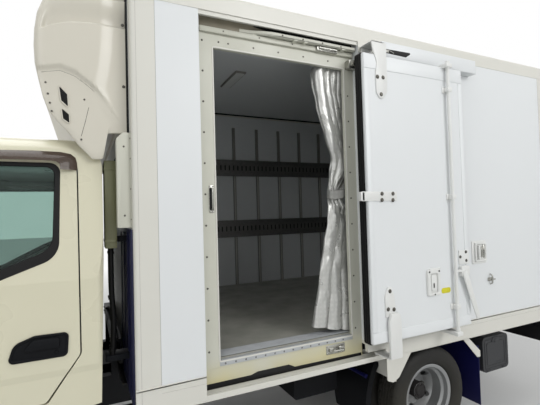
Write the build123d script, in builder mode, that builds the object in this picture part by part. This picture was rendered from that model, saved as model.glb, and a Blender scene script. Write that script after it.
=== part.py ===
from build123d import *
import os
from math import cos, sin, radians

os.makedirs("parts", exist_ok=True)

# A light refrigerated truck with a wide tilt cab, an insulated box and twin rear wheels.
# Millimetres, +X forward, +Y to the truck's left, +Z up. The origin is on the ground,
# under the middle of the whole truck.

# Overall layout, along the truck
cab_length = 1740           # bumper's face to the cab's back
cab_gap = 128               # cab's back to the box's front face
front_overhang = 1080
box_length = 3450
axle_setback = 2012         # rear axle behind the box's front face
bumper_reach = 75           # rear bumper behind the box
fit = 0.3                   # gap between pieces that only touch
panel_fit = 0.6             # gap round a panel let into another

overall_length = cab_length + cab_gap + box_length + bumper_reach
front_x = overall_length / 2
rear_x = -overall_length / 2
cab_back_x = front_x - cab_length
box_front_x = cab_back_x - cab_gap
box_rear_x = box_front_x - box_length
rear_axle_x = box_front_x - axle_setback
front_axle_x = front_x - front_overhang

# Box
box_width = 2187
wall = 80                   # insulated walls
ceiling = 2820
wall_top = ceiling - 30
roof_top = ceiling + 76
floor_bottom = 834
floor_top = 914
deck_rise = 4               # load floor above the ledge that the wall ribs stand on
deck_edge = 24              # width of that ledge
skirt_bottom = 726
skirt_top = 857
skirt_thickness = 30
post_length = 120           # corner posts, along the truck
half_width = box_width / 2
inner_half = half_width - wall

# Chassis frame
rail_y = 375                # middle of each rail
rail_width = 60
rail_top = 700
rail_bottom = 520
sill_height = 70            # box sills on the rails
bearer_half = 985
rail_in = rail_y - rail_width / 2
rail_out = rail_y + rail_width / 2

# Wheels
tyre_radius = 347
tyre_half = 102.5
rim_offset = 120            # wheel's middle to its mounting face
wheel_y = 830               # middle of a front tyre
twin_y = 806                # mounting face between the twin rims
axle_height = tyre_radius

# Axles
kingpin_y = 690
kingpin_radius = 16
eye_radius = 36
eye_half = 45               # half the height of the axle's eye
fork_plate = 22
spindle_radius = 30
rear_spindle_radius = 38
spring_half = 30

# Cab
cab_half = 997.5
cab_wall = 60
cab_roof = 2090
cab_bottom = 480
cab_floor_top = 920
cab_floor_bottom = 870
shoulder_inset = 68         # how far the sides lean in at the roof
crease_height = 975         # crease below the door handles
crease_depth = 8            # how far the sides are set in below it
belt_height = 1400
front_corner = 170          # corner radius seen from above
arch_radius = 420
arch_height = 370
pivot_behind_face = 168     # tilt axis behind the bumper's face
pivot_height = 750
pivot_radius = 15
door_gap = 6
hinge_radius = 8

# Front bumper
bumper_top = 675
bumper_bottom = 340
bumper_thickness = 45
bumper_half = 990
bumper_side = 270           # how far its ends run back

# Side door, parked open, and its doorway, placed behind the box's front face
opening_front = 443
opening_rear = 1320
opening_bottom = 900
opening_top = ceiling - 203
surround_front = 347
surround_rear = 1400
surround_top = ceiling - 103
surround_recess = 60
door_front = 1345
door_rear = 2225
door_bottom = 875
door_top = ceiling - 150
door_thickness = 77
door_standoff = 35
rail_end = 2450             # rear end of the upper door rail
low_rail_end = 1545
low_rail_slot = 790         # top of the slot that the lower arm passes

# Rear doors
leaf_thickness = 80
leaf_gap = 6
portal_side = 60            # rear post beside a leaf
portal_depth = 120
leaf_bottom = 866
leaf_top = ceiling - 74
hinge_behind = 45
hinge_outside = 25
strap_gap = 7


def behind(distance):
    return box_front_x - distance


def ahead(distance):
    return cab_back_x + distance


def slab(x_low, x_high, y_low, y_high, z_low, z_high, mode=Mode.ADD):
    with Locations(((x_low + x_high) / 2, (y_low + y_high) / 2, (z_low + z_high) / 2)):
        Box(abs(x_high - x_low), abs(y_high - y_low), abs(z_high - z_low), mode=mode)


def outline(rows):
    with BuildSketch() as face:
        Polygon(*[(a, b) for a, b, radius in rows], align=None)
        for a, b, radius in rows:
            if radius:
                fillet(face.vertices().sort_by_distance(Vector(a, b, 0))[0], radius=radius)
    return face.sketch


def prism_y(rows, y_low, y_high):
    with BuildPart() as prism:
        with BuildSketch(Plane.XZ.offset(-y_high)):
            add(outline(rows))
        extrude(amount=y_high - y_low)
    return prism.part


def prism_x(rows, x_low, x_high):
    with BuildPart() as prism:
        with BuildSketch(Plane.YZ.offset(x_low)):
            add(outline(rows))
        extrude(amount=x_high - x_low)
    return prism.part


def prism_z(rows, z_low, z_high):
    with BuildPart() as prism:
        with BuildSketch(Plane.XY.offset(z_low)):
            add(outline(rows))
        extrude(amount=z_high - z_low)
    return prism.part


def rod(start, end, radius, mode=Mode.ADD):
    run = Vector(*end) - Vector(*start)
    with Locations(Plane(origin=start, z_dir=run)):
        Cylinder(radius, run.length, align=(Align.CENTER, Align.CENTER, Align.MIN), mode=mode)


def turned(rows, y_middle, x_axle, side):
    with BuildPart() as ring:
        with BuildSketch(Plane(origin=(x_axle, y_middle, axle_height), x_dir=(0, side, 0),
                               z_dir=(1, 0, 0))):
            Polygon(*[(out, radius * side) for out, radius in rows], align=None)
        revolve(axis=Axis((x_axle, y_middle, axle_height), (0, 1, 0)))
    return ring.part


def write(part, name):
    part.label = name
    export_step(part, "parts/" + name + ".step")


# Chassis frame: rails, cross members, box sills, floor bearers and the cab's hinge brackets
pivot_x = front_x - pivot_behind_face
frame_front_x = pivot_x - 10
link_x = pivot_x - 60
frame_rear_x = box_rear_x + 40
cross_member_x = [frame_front_x - 40, behind(320), behind(900), behind(1500), behind(2560),
                  behind(3200)]
bearer_count = 8
bearer_first = behind(60)
bearer_last = behind(box_length - 170)
tow_eye_radius = 15
tow_eye_x = frame_rear_x + 55
tow_eye_z = 455

bracket_rows = [(pivot_x - 40, rail_top - 30, 0), (pivot_x - 10, rail_top - 30, 0),
                (pivot_x + 20, pivot_height - 26, 0), (pivot_x + 20, pivot_height + 30, 12),
                (pivot_x - 40, pivot_height + 30, 12)]

# The cab rests on this arch when it is down
support_x = box_front_x + 22
support_top = 965

with BuildPart() as chassis_frame:
    for side in (1, -1):
        y_in = side * rail_in
        y_out = side * rail_out
        slab(frame_rear_x, frame_front_x, y_in, y_out, rail_bottom, rail_top)
        slab(link_x, front_x - bumper_thickness, y_in + side * 8, y_out - side * 8,
             rail_bottom - 60, rail_bottom + 50)
        slab(box_rear_x + 130, box_front_x - 20, y_in, y_out, rail_top, rail_top + sill_height)
        add(prism_y(bracket_rows, *sorted((y_in, y_out))))
        slab(tow_eye_x - 40, tow_eye_x + 60, y_in + side * 20, y_in + side * 40, tow_eye_z - 35,
             rail_bottom + 30)
    for x in cross_member_x:
        slab(x - 30, x + 30, -rail_y, rail_y, rail_bottom, rail_bottom + 60)
    for number in range(bearer_count):
        x = bearer_first + (bearer_last - bearer_first) * number / (bearer_count - 1)
        slab(x - 30, x + 30, -bearer_half, bearer_half, rail_top + sill_height, floor_bottom)
    for side in (1, -1):
        slab(support_x, support_x + 50, side * rail_in, side * rail_out, rail_top - 1, 900)
    slab(support_x, support_x + 50, -560, 560, 900, support_top)
    slab(support_x, support_x + 6, -560, 560, rail_top + 4, 900)
    rod((pivot_x, -rail_out - 5, pivot_height), (pivot_x, rail_out + 5, pivot_height),
        pivot_radius + fit, Mode.SUBTRACT)
    rod((tow_eye_x, -rail_out, tow_eye_z), (tow_eye_x, rail_out, tow_eye_z),
        tow_eye_radius, Mode.SUBTRACT)
write(chassis_frame.part, "chassis_frame")

# Engine, gearbox, radiator and propeller shaft, as plain blocks
shaft_end_x = rear_axle_x + 170
shaft_radius = 45
with BuildPart() as engine_and_driveline:
    slab(ahead(270), ahead(920), -300, 300, 440, 1000)
    slab(behind(250), ahead(270), -150, 150, 430, 500)
    slab(behind(250), ahead(270), -150, 150, 500, 690)
    slab(behind(250), ahead(270), -345, 345, 590, 640)
    slab(ahead(920), ahead(1240), -60, 60, 640, 700)
    slab(ahead(1240), ahead(1300), -344, 344, 440, 830)
    rod((behind(250) + 5, 0, axle_height + 100), (shaft_end_x + 3, 0, axle_height + 20), shaft_radius)
write(engine_and_driveline.part, "engine_and_driveline")


# Leaf springs: one bow of constant thickness between its two hangers
def bow(x_middle, z_middle, z_end, half_length, thickness, y_middle):
    with BuildPart() as spring:
        with BuildSketch(Plane.XZ.offset(-y_middle - spring_half)):
            with BuildLine():
                ThreePointArc((x_middle - half_length, z_end), (x_middle, z_middle),
                              (x_middle + half_length, z_end))
                Line((x_middle + half_length, z_end), (x_middle + half_length, z_end + thickness))
                ThreePointArc((x_middle + half_length, z_end + thickness),
                              (x_middle, z_middle + thickness),
                              (x_middle - half_length, z_end + thickness))
                Line((x_middle - half_length, z_end + thickness), (x_middle - half_length, z_end))
            make_face()
        extrude(amount=2 * spring_half)
    return spring.part


# Front axle: a dropped beam with an eye for each kingpin, on its two leaf springs
beam_top = 335
beam_bottom = 255
front_spring = 550
rear_spring = 600
rear_spring_y = rail_out + 50
tube_radius = 55
front_bows = [bow(front_axle_x, beam_top - 2, 470, front_spring, 36, side * rail_y)
              for side in (1, -1)]
with BuildPart() as front_axle:
    slab(front_axle_x - 32, front_axle_x + 32, -640, 640, beam_bottom, beam_top)
    for side in (1, -1):
        y = side * kingpin_y
        slab(front_axle_x - 28, front_axle_x + 28, side * 610, y, axle_height - 38, axle_height + 38)
        rod((front_axle_x, y, axle_height - eye_half), (front_axle_x, y, axle_height + eye_half),
            eye_radius)
        rod((front_axle_x, y, axle_height - eye_half - 5), (front_axle_x, y, axle_height + eye_half + 5),
            kingpin_radius + fit, Mode.SUBTRACT)
        for end in (1, -1):
            x = front_axle_x + end * (front_spring - 20)
            slab(x - 22, x + 22, side * rail_in, side * rail_out, 480, rail_bottom)
    for spring in front_bows:
        add(spring)
write(front_axle.part, "front_axle")

# Rear axle: housing with its bulb, spindles and leaf springs
rear_bows = [bow(rear_axle_x, axle_height + tube_radius - 5, 510, rear_spring, 50,
                 side * rear_spring_y) for side in (1, -1)]
with BuildPart() as rear_axle:
    rod((rear_axle_x, -690, axle_height), (rear_axle_x, 690, axle_height), tube_radius)
    with Locations((rear_axle_x, 0, axle_height)):
        Sphere(145)
    rod((rear_axle_x + 100, 0, axle_height + 20), (shaft_end_x, 0, axle_height + 20), 60)
    rod((rear_axle_x, -twin_y, axle_height), (rear_axle_x, twin_y, axle_height), rear_spindle_radius)
    for side in (1, -1):
        for end in (1, -1):
            x = rear_axle_x + end * (rear_spring - 20)
            slab(x - 30, x + 30, side * rail_out, side * (rear_spring_y + spring_half), 530, 610)
    for spring in rear_bows:
        add(spring)
write(rear_axle.part, "rear_axle")


# Steering knuckles: a fork round the axle's eye, the kingpin and the spindle
def knuckle(side):
    y = side * kingpin_y
    web_in = y + side * (eye_radius + 3)
    web_out = web_in + side * 22
    low = axle_height - eye_half - fit
    high = axle_height + eye_half + fit
    with BuildPart() as piece:
        for z_low, z_high in ((low - fork_plate, low), (high, high + fork_plate)):
            rod((front_axle_x, y, z_low), (front_axle_x, y, z_high), eye_radius - 2)
            slab(front_axle_x - 30, front_axle_x + 30, y, web_out, z_low, z_high)
        slab(front_axle_x - 30, front_axle_x + 30, web_in, web_out, low - fork_plate, high + fork_plate)
        rod((front_axle_x, y, low - fork_plate), (front_axle_x, y, high + fork_plate), kingpin_radius)
        rod((front_axle_x, web_in, axle_height), (front_axle_x, side * (wheel_y + rim_offset - 12),
            axle_height), spindle_radius)
        slab(front_axle_x - 170, front_axle_x - 20, web_in, web_out, low - fork_plate, low)
    return piece.part


write(knuckle(1), "knuckle_left")
write(knuckle(-1), "knuckle_right")

# Tyre section: offset from the wheel's middle and radius, one half from the bead to the tread
tyre_half_rows = [(63.5, 204.6), (69.2, 221), (80, 223), (98, 252), (tyre_half, 282), (98, 312),
                  (86, 334), (72, 343), (40, tyre_radius - 0.8), (15, tyre_radius)]
tyre_rows = tyre_half_rows + [(-out, radius) for out, radius in reversed(tyre_half_rows)]

# Rim section: offset from the mounting face and radius, for a rim that stands outboard of it
rim_rows = [(44, 220), (50, 220), (56, 204), (84, 200), (98, 184), (142, 184), (156, 200),
            (184, 204), (190, 220), (196, 220), (196, 212), (190, 196), (160, 190), (146, 174),
            (70, 174), (14, 138), (14, 55), (0, 55), (0, 142), (50, 190), (44, 212)]
hole_circle = 150
hole_radius = 19
hole_count = 6
nut_circle = 111
nut_count = 6
nut_radius = 13
cap_radius = 58


def hub_parts(x_axle, y_face, side, bore_radius, bore_depth, drum_radius, cap_length, holes_from):
    y_cap = y_face + side * cap_length
    y_drum = y_face - side * 110
    rod((x_axle, y_face - side * 5, axle_height), (x_axle, y_cap, axle_height), cap_radius)
    rod((x_axle, y_drum, axle_height), (x_axle, y_face - side * 5, axle_height), drum_radius)
    for number in range(hole_count):
        angle = radians(number * 360 / hole_count + 30)
        x = x_axle + hole_circle * cos(angle)
        z = axle_height + hole_circle * sin(angle)
        rod((x, y_face + side * holes_from, z), (x, y_face - side * 60, z), hole_radius, Mode.SUBTRACT)
    for number in range(nut_count):
        angle = radians(number * 360 / nut_count)
        x = x_axle + nut_circle * cos(angle)
        z = axle_height + nut_circle * sin(angle)
        rod((x, y_face, z), (x, y_face + side * 36, z), nut_radius)
    rod((x_axle, y_drum - side * 5, axle_height), (x_axle, y_face + side * bore_depth, axle_height),
        bore_radius, Mode.SUBTRACT)


def front_rim(side):
    y_face = side * (wheel_y + rim_offset)
    body = turned([(-out, radius) for out, radius in rim_rows], y_face, front_axle_x, side)
    with BuildPart() as rim:
        add(body)
        hub_parts(front_axle_x, y_face, side, spindle_radius + fit, -12 + fit, 130, 40, 40)
    return rim.part


def twin_rims(side):
    y_face = side * twin_y
    outer = turned(rim_rows, y_face, rear_axle_x, side)
    inner = turned([(-out, radius) for out, radius in rim_rows], y_face, rear_axle_x, side)
    with BuildPart() as rims:
        add(outer)
        add(inner)
        hub_parts(rear_axle_x, y_face, side, rear_spindle_radius + fit, fit, 130, 110, 60)
    return rims.part


for side, name in ((1, "left"), (-1, "right")):
    write(turned(tyre_rows, side * wheel_y, front_axle_x, side), "front_tyre_" + name)
    write(front_rim(side), "front_rim_" + name)
    tyres = [turned(tyre_rows, side * (twin_y + place), rear_axle_x, side)
             for place in (-rim_offset, rim_offset)]
    with BuildPart() as twin_tyres:
        for tyre in tyres:
            add(tyre)
    write(twin_tyres.part, "rear_tyres_" + name)
    write(twin_rims(side), "rear_rims_" + name)

# Fuel tank on the right, held against the rail by two straps
tank_x = behind(950)
with BuildPart() as fuel_tank:
    slab(tank_x - 300, tank_x + 300, -rail_out - 400, -rail_out - 40, 330, 640)
    fillet(fuel_tank.edges().filter_by(Axis.X), 45)
    for place in (-180, 180):
        slab(tank_x + place - 20, tank_x + place + 20, -rail_out - 60, -rail_out, 420, 660)
write(fuel_tank.part, "fuel_tank")

# Battery box on the left rail, ahead of the rear wheels, and the tool box behind them
side_box_half = 1000
with BuildPart() as battery_box:
    slab(behind(1400), behind(1050), rail_out + 30, rail_out + 330, 420, 690)
    fillet(battery_box.edges().filter_by(Axis.Y), 20)
    for place in (1110, 1330):
        slab(behind(place + 20), behind(place - 20), rail_out, rail_out + 60, 540, 660)
write(battery_box.part, "battery_box")

tool_front = 2610
tool_rear = 2920
with BuildPart() as tool_box:
    slab(behind(tool_rear), behind(tool_front), rail_out + 215, side_box_half, 380, 655)
    fillet(tool_box.edges().filter_by(Axis.Y), 35)
    for place in (tool_front + 70, tool_rear - 70):
        slab(behind(place + 15), behind(place - 15), rail_out, rail_out + 240, 560, 620)
write(tool_box.part, "tool_box")

# Exhaust: silencer, its pipe from the engine and the tail pipe
silencer_x = behind(520)
with BuildPart() as exhaust:
    rod((silencer_x - 280, 240, 400), (silencer_x + 280, 240, 400), 85)
    rod((silencer_x + 270, 240, 400), (ahead(330), 240, 400), 25)
    rod((ahead(305), 240, 400), (ahead(305), 240, 440 - fit), 25)
    rod((silencer_x - 270, 240, 400), (silencer_x - 460, 240, 400), 25)
    slab(silencer_x - 210, silencer_x - 190, 285, 300, 440, 550)
    slab(silencer_x - 210, silencer_x - 190, 285, rail_in, 530, 550)
write(exhaust.part, "exhaust")

# Mudguards ahead of the twin wheels, mud flaps behind them and splash plates behind the cab
guard_radius = 505
guard_inner = 560
guard_outer = 925
flap_x = behind(2520)
flap_front_x = flap_x + 25
stay_angle = radians(22.5)
stay_x = rear_axle_x + (guard_radius + 16) * cos(stay_angle)
stay_z = axle_height + (guard_radius + 16) * sin(stay_angle)
with BuildPart() as mudguards:
    for side in (1, -1):
        y_low = min(side * guard_inner, side * guard_outer)
        with BuildSketch(Plane.XZ.offset(-(y_low + guard_outer - guard_inner))):
            with BuildLine():
                CenterArc((rear_axle_x, axle_height), guard_radius, 4, 30)
                CenterArc((rear_axle_x, axle_height), guard_radius + 6, 4, 30)
                for angle in (4, 34):
                    turn = radians(angle)
                    Line((rear_axle_x + guard_radius * cos(turn), axle_height + guard_radius * sin(turn)),
                         (rear_axle_x + (guard_radius + 6) * cos(turn),
                          axle_height + (guard_radius + 6) * sin(turn)))
            make_face()
        extrude(amount=guard_outer - guard_inner)
        rod((stay_x, side * rail_out, stay_z), (stay_x, side * (guard_outer - 20), stay_z), 14)
        slab(flap_x - 5, flap_x, side * 585, side * 1030, 170, 600)
        slab(flap_x - 5, flap_front_x, side * rail_out, side * 1030, 590, 620)
write(mudguards.part, "mudguards")

# Rear bumper with its brackets on the rails, and the tail lamps on it
bar_depth = 62
with BuildPart() as rear_bumper:
    slab(rear_x, rear_x + bar_depth, -1010, 1010, 480, 600)
    fillet(rear_bumper.edges().filter_by(Axis.Z), 20)
    for side in (1, -1):
        slab(rear_x + bar_depth - 10, frame_rear_x, side * rail_in, side * rail_out, 520, 600)
write(rear_bumper.part, "rear_bumper")

with BuildPart() as tail_lamps:
    for side in (1, -1):
        slab(rear_x + 8, rear_x + bar_depth, side * 690, side * 990, 600, 700)
    fillet(tail_lamps.edges().filter_by(Axis.X), 12)
write(tail_lamps.part, "tail_lamps")

# Front bumper: a bent channel with an air slot and two bolt holes for a plate
plate_height = 600
plate_spacing = 210
plate_hole = 3.5
bumper_outer = prism_z([(front_x - bumper_side, -bumper_half, 25), (front_x, -bumper_half, 160),
                        (front_x, bumper_half, 160), (front_x - bumper_side, bumper_half, 25)],
                       bumper_bottom, bumper_top)
inner = bumper_half - bumper_thickness
bumper_inner = prism_z([(front_x - bumper_side - 10, -inner, 0),
                        (front_x - bumper_thickness, -inner, 115),
                        (front_x - bumper_thickness, inner, 115),
                        (front_x - bumper_side - 10, inner, 0)], bumper_bottom - 5, bumper_top + 5)
with BuildPart() as front_bumper:
    add(bumper_outer)
    add(bumper_inner, mode=Mode.SUBTRACT)
    slab(front_x - 100, front_x + 5, -420, 420, 400, 500, Mode.SUBTRACT)
    for side in (1, -1):
        slab(front_x - bumper_side - 5, front_x - 100, side * (inner - 25), side * (bumper_half - 24),
             bumper_top - 35, bumper_top + 5, Mode.SUBTRACT)
        slab(front_x - 100, front_x + 5, side * 560, side * 740, 410, 490, Mode.SUBTRACT)
        rod((front_x - 60, side * plate_spacing / 2, plate_height),
            (front_x + 5, side * plate_spacing / 2, plate_height), plate_hole, Mode.SUBTRACT)
write(front_bumper.part, "front_bumper")

# Cab's outer form. Front face: height and distance behind the bumper's face
face_rows = [(cab_bottom, 60), (950, 38), (1290, 100), (cab_roof + 40, 425.5)]
roof_rear_radius = 150
roof_front_radius = 150
roof_side_radius = 100
roof_crease = 4             # the side curves end this far above the flat roof


def cab_form(inset):
    half = cab_half - inset
    radius = front_corner - inset
    top = cab_roof - inset
    segments = []
    for (z_low, set_low), (z_high, set_high) in zip(face_rows, face_rows[1:]):
        x_low = front_x - set_low - inset
        lean = Vector(set_low - set_high, 0, z_high - z_low)
        with BuildPart() as segment:
            with BuildSketch(Plane.XY.offset(z_low)):
                add(outline([(cab_back_x - 700, -half, 0), (x_low, -half, radius),
                             (x_low, half, radius), (cab_back_x - 700, half, 0)]))
            extrude(amount=lean.length, dir=lean)
        segments.append(segment.part)
    slope = (face_rows[3][1] - face_rows[2][1]) / (face_rows[3][0] - face_rows[2][0])
    roof_x = front_x - face_rows[2][1] - inset - slope * (top - face_rows[2][0])
    side_view = prism_y([(ahead(27 + inset), cab_bottom, 0), (ahead(inset), 1500, 0),
                         (ahead(inset), top, roof_rear_radius - inset),
                         (roof_x, top, roof_front_radius - inset),
                         (front_x - face_rows[2][1] - inset, face_rows[2][0], 0),
                         (front_x + 50, face_rows[2][0], 0), (front_x + 50, cab_bottom, 0)],
                        -half - 5, half + 5)
    low_half = half - crease_depth
    end_view = prism_x([(-low_half, cab_bottom, 0), (low_half, cab_bottom, 0),
                        (low_half, crease_height - 15, 0), (half, crease_height + 15, 0),
                        (half, belt_height, 0),
                        (half - shoulder_inset, top + roof_crease, roof_side_radius - inset),
                        (-half + shoulder_inset, top + roof_crease, roof_side_radius - inset),
                        (-half, belt_height, 0), (-half, crease_height + 15, 0),
                        (-low_half, crease_height - 15, 0)], cab_back_x - 50, front_x + 50)
    plan_view = prism_z([(ahead(inset) - 6, -half, 45), (front_x + 50, -half, 0),
                         (front_x + 50, half, 0), (ahead(inset) - 6, half, 45)],
                        cab_bottom - 5, cab_roof + 50)
    with BuildPart() as form:
        for segment in segments:
            add(segment)
        add(side_view, mode=Mode.INTERSECT)
        add(end_view, mode=Mode.INTERSECT)
        add(plan_view, mode=Mode.INTERSECT)
    return form.part


# Side views of a cab door and its window: x, z and corner radius
screen_slope = (face_rows[3][1] - face_rows[2][1]) / (face_rows[3][0] - face_rows[2][0])
hinge_behind_face = 268
door_top_z = 1985
window_top_z = 1962
door_front_top = hinge_behind_face + screen_slope * (door_top_z - 1290)
window_front_top = hinge_behind_face + 72 + screen_slope * (window_top_z - 1290)


def door_rows(gap):
    return [(ahead(110) + gap, door_top_z - gap, 60), (ahead(103) + gap, 1050, 40),
            (ahead(248) + gap, 840 + gap, 30), (front_axle_x + 330, 840 + gap, 60),
            (front_axle_x + 440 + gap, 680, 60), (front_axle_x + 452 + gap, 520 + gap, 20),
            (front_x - 372, 520 + gap, 20), (front_x - hinge_behind_face - gap, 740, 60),
            (front_x - hinge_behind_face - gap, 1290, 60),
            (front_x - door_front_top - gap, door_top_z - gap, 50)]


def window_rows(gap):
    return [(ahead(188) + gap, window_top_z - gap, 45), (ahead(196) + gap, 1515 + gap, 100),
            (ahead(420), 1430 + gap, 200), (ahead(740), 1265 + gap, 150),
            (front_x - hinge_behind_face - 62 - gap, 1240 + gap, 35),
            (front_x - window_front_top - gap, window_top_z - gap, 45)]


def screen_rows(gap):
    return [(-845 + gap, 1335 + gap, 60), (845 - gap, 1335 + gap, 60), (775 - gap, 2005 - gap, 70),
            (-775 + gap, 2005 - gap, 70)]


def rear_window_rows(gap):
    return [(-560 + gap, 1480 + gap, 50), (560 - gap, 1480 + gap, 50), (560 - gap, 1850 - gap, 50),
            (-560 + gap, 1850 - gap, 50)]


def lamp_rows(side, gap):
    rows = [(620 + gap, 715 + gap, 30), (985 - gap, 735 + gap, 30), (985 - gap, 960 - gap, 30),
            (640 + gap, 930 - gap, 30)]
    return [(side * y, z, radius) for y, z, radius in rows]


def grille_rows(gap):
    return [(-590 + gap, 712 + gap, 25), (590 - gap, 712 + gap, 25), (640 - gap, 990 + gap, 25),
            (800 - gap, 1010 + gap, 20), (790 - gap, 1215 - gap, 40), (-790 + gap, 1215 - gap, 40),
            (-800 + gap, 1010 + gap, 20), (-640 + gap, 990 + gap, 25)]


lamp_depth = 36
grille_depth = 22
glass_inset = 18
glass_thickness = 5
outer_form = cab_form(0)
inner_form = cab_form(cab_wall)
lamp_form = cab_form(lamp_depth)
grille_form = cab_form(grille_depth)
glass_outer = cab_form(glass_inset)
glass_inner = cab_form(glass_inset + glass_thickness)
front_part = ahead(900)
lamp_part = front_x - 215

upper_room = prism_z([(cab_back_x - 20, -1100, 0), (front_x + 20, -1100, 0),
                      (front_x + 20, 1100, 0), (cab_back_x - 20, 1100, 0)], cab_floor_top, cab_roof + 20)
lower_room = prism_z([(cab_back_x - 20, -1100, 0), (front_x + 20, -1100, 0),
                      (front_x + 20, 1100, 0), (cab_back_x - 20, 1100, 0)], 400, cab_floor_bottom)


def both(first, second):
    with BuildPart() as common:
        add(first)
        add(second, mode=Mode.INTERSECT)
    return common.part


def layer(outer, inner_one, zone):
    with BuildPart() as piece:
        add(outer)
        add(inner_one, mode=Mode.SUBTRACT)
        add(zone, mode=Mode.INTERSECT)
    return piece.part


cabin_room = both(inner_form, upper_room)
under_room = both(inner_form, lower_room)
door_zone = {side: prism_y(door_rows(0), *sorted((side * 700, side * 1100))) for side in (1, -1)}
screen_zone = prism_x(screen_rows(0), front_part, front_x + 20)
rear_window_zone = prism_x(rear_window_rows(0), cab_back_x - 20, ahead(200))
lamp_zone = {side: prism_x(lamp_rows(side, 0), lamp_part, front_x + 20) for side in (1, -1)}
lamp_pocket = {side: layer(outer_form, lamp_form, lamp_zone[side]) for side in (1, -1)}
grille_zone = prism_x(grille_rows(0), front_part, front_x + 20)
grille_pocket = layer(outer_form, grille_form, grille_zone)
hump_half = 400
hump_length = 1000
hump_top = 1120
hump_wall = 30
rear_cut = prism_y([(ahead(-40), 400, 0), (ahead(240), 400, 0), (ahead(240), 650, 40),
                    (ahead(97), 787, 60), (ahead(-40), 805, 0)], -1100, 1100)

with BuildPart() as cab_shell:
    add(outer_form)
    add(cabin_room, mode=Mode.SUBTRACT)
    add(under_room, mode=Mode.SUBTRACT)
    add(rear_cut, mode=Mode.SUBTRACT)
    slab(front_x - 340, front_x + 20, -1100, 1100, 400, 700, Mode.SUBTRACT)
    slab(ahead(cab_wall / 2), ahead(hump_length), -hump_half, hump_half, cab_floor_bottom, hump_top)
    slab(ahead(cab_wall), ahead(hump_length - hump_wall), -hump_half + hump_wall,
         hump_half - hump_wall, 400, hump_top - hump_wall, Mode.SUBTRACT)
    slab(ahead(-20), ahead(cab_wall + 5), -cab_half + cab_wall, cab_half - cab_wall, 400,
         cab_floor_bottom, Mode.SUBTRACT)
    rod((front_axle_x, -1100, arch_height), (front_axle_x, 1100, arch_height), arch_radius,
        Mode.SUBTRACT)
    slab(front_axle_x + 450, front_x - 345, cab_half - 260, cab_half - 30, 490, 510)
    slab(front_axle_x + 450, front_x - 345, -cab_half + 260, -cab_half + 30, 490, 510)
    for side in (1, -1):
        add(door_zone[side], mode=Mode.SUBTRACT)
        add(lamp_pocket[side], mode=Mode.SUBTRACT)
    add(screen_zone, mode=Mode.SUBTRACT)
    add(rear_window_zone, mode=Mode.SUBTRACT)
    add(grille_pocket, mode=Mode.SUBTRACT)
    slab(front_x - 200, front_x + 20, -500, 500, 745, cab_floor_bottom - 20, Mode.SUBTRACT)
    for side in (1, -1):
        for z in (820, 1180):
            rod((front_x - hinge_behind_face - door_gap / 2, side * cab_half, z),
                (front_x - hinge_behind_face - door_gap / 2, side * cab_half, z + 60), hinge_radius)
        slab(pivot_x - 25, pivot_x + 25, side * (rail_out + 6), side * (rail_out + 18),
             pivot_height - 25, cab_floor_bottom + 10)
    rod((pivot_x, -rail_out - 18, pivot_height), (pivot_x, rail_out + 18, pivot_height), pivot_radius)
write(cab_shell.part, "cab_shell")

cab_glass_front = layer(glass_outer, glass_inner, prism_x(screen_rows(fit), front_part, front_x + 20))
cab_glass_rear = layer(glass_outer, glass_inner,
                       prism_x(rear_window_rows(fit), cab_back_x - 20, ahead(200)))
with BuildPart() as cab_glass:
    add(cab_glass_front)
    add(cab_glass_rear)
write(cab_glass.part, "cab_glass")

# Cab doors and their windows
for side, name in ((1, "left"), (-1, "right")):
    span = sorted((side * 700, side * 1100))
    panel = layer(outer_form, inner_form, prism_y(door_rows(door_gap), *span))
    pane = layer(glass_outer, glass_inner, prism_y(window_rows(fit), *span))
    window_zone = prism_y(window_rows(0), *span)
    with BuildPart() as cab_door:
        add(panel)
        add(window_zone, mode=Mode.SUBTRACT)
        rod((front_axle_x, side * 700, arch_height), (front_axle_x, side * 1100, arch_height),
            arch_radius + door_gap, Mode.SUBTRACT)
        for z in (820, 1180):
            rod((front_x - hinge_behind_face - door_gap / 2, side * cab_half, z - 10),
                (front_x - hinge_behind_face - door_gap / 2, side * cab_half, z + 70),
                hinge_radius + fit, Mode.SUBTRACT)
    write(cab_door.part, "cab_door_" + name)
    write(pane, "door_glass_" + name)

# Front panel with its air slots
front_slab = layer(outer_form, grille_form, prism_x(grille_rows(panel_fit), front_part, front_x + 20))
slot_height = 20
slot_pitch = 38
with BuildPart() as front_panel:
    add(front_slab)
    for number in range(4):
        z = 750 + number * slot_pitch
        slab(front_x - 200, front_x + 20, -480, 480, z, z + slot_height, Mode.SUBTRACT)
write(front_panel.part, "front_panel")

lamps = [layer(outer_form, lamp_form,
               prism_x(lamp_rows(side, panel_fit), lamp_part + panel_fit, front_x + 20))
         for side in (1, -1)]
with BuildPart() as headlamps:
    for lamp in lamps:
        add(lamp)
write(headlamps.part, "headlamps")

# Dashboard, seats and steering wheel, right-hand drive
dash_half = cab_half - cab_wall - 12
wheel_seat_y = -560
dash_body = prism_y([(front_x - 420, 1010, 40), (front_x - 225, 1000, 0), (front_x - 225, 1270, 30),
                     (front_x - 370, 1262, 50), (front_x - 455, 1180, 40)], -dash_half, dash_half)
with BuildPart() as dashboard:
    add(dash_body)
    slab(front_x - 400, front_x - 300, -200, 200, cab_floor_top, 1030)
write(dashboard.part, "dashboard")

seat_rows = [(wheel_seat_y, 250), (320, 450)]    # middle and half width
with BuildPart() as seats:
    for y, half in seat_rows:
        slab(ahead(180), ahead(660), y - half, y + half, hump_top, hump_top + 150)
        slab(ahead(75), ahead(185), y - half, y + half, hump_top, hump_top + 620)
        fillet(seats.edges().filter_by(Axis.Y).group_by(Axis.Z)[-1], 30)
    slab(ahead(180), ahead(600), wheel_seat_y - 220, -hump_half, cab_floor_top, hump_top)
    slab(ahead(180), ahead(600), hump_half, 760, cab_floor_top, hump_top)
write(seats.part, "seats")

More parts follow.
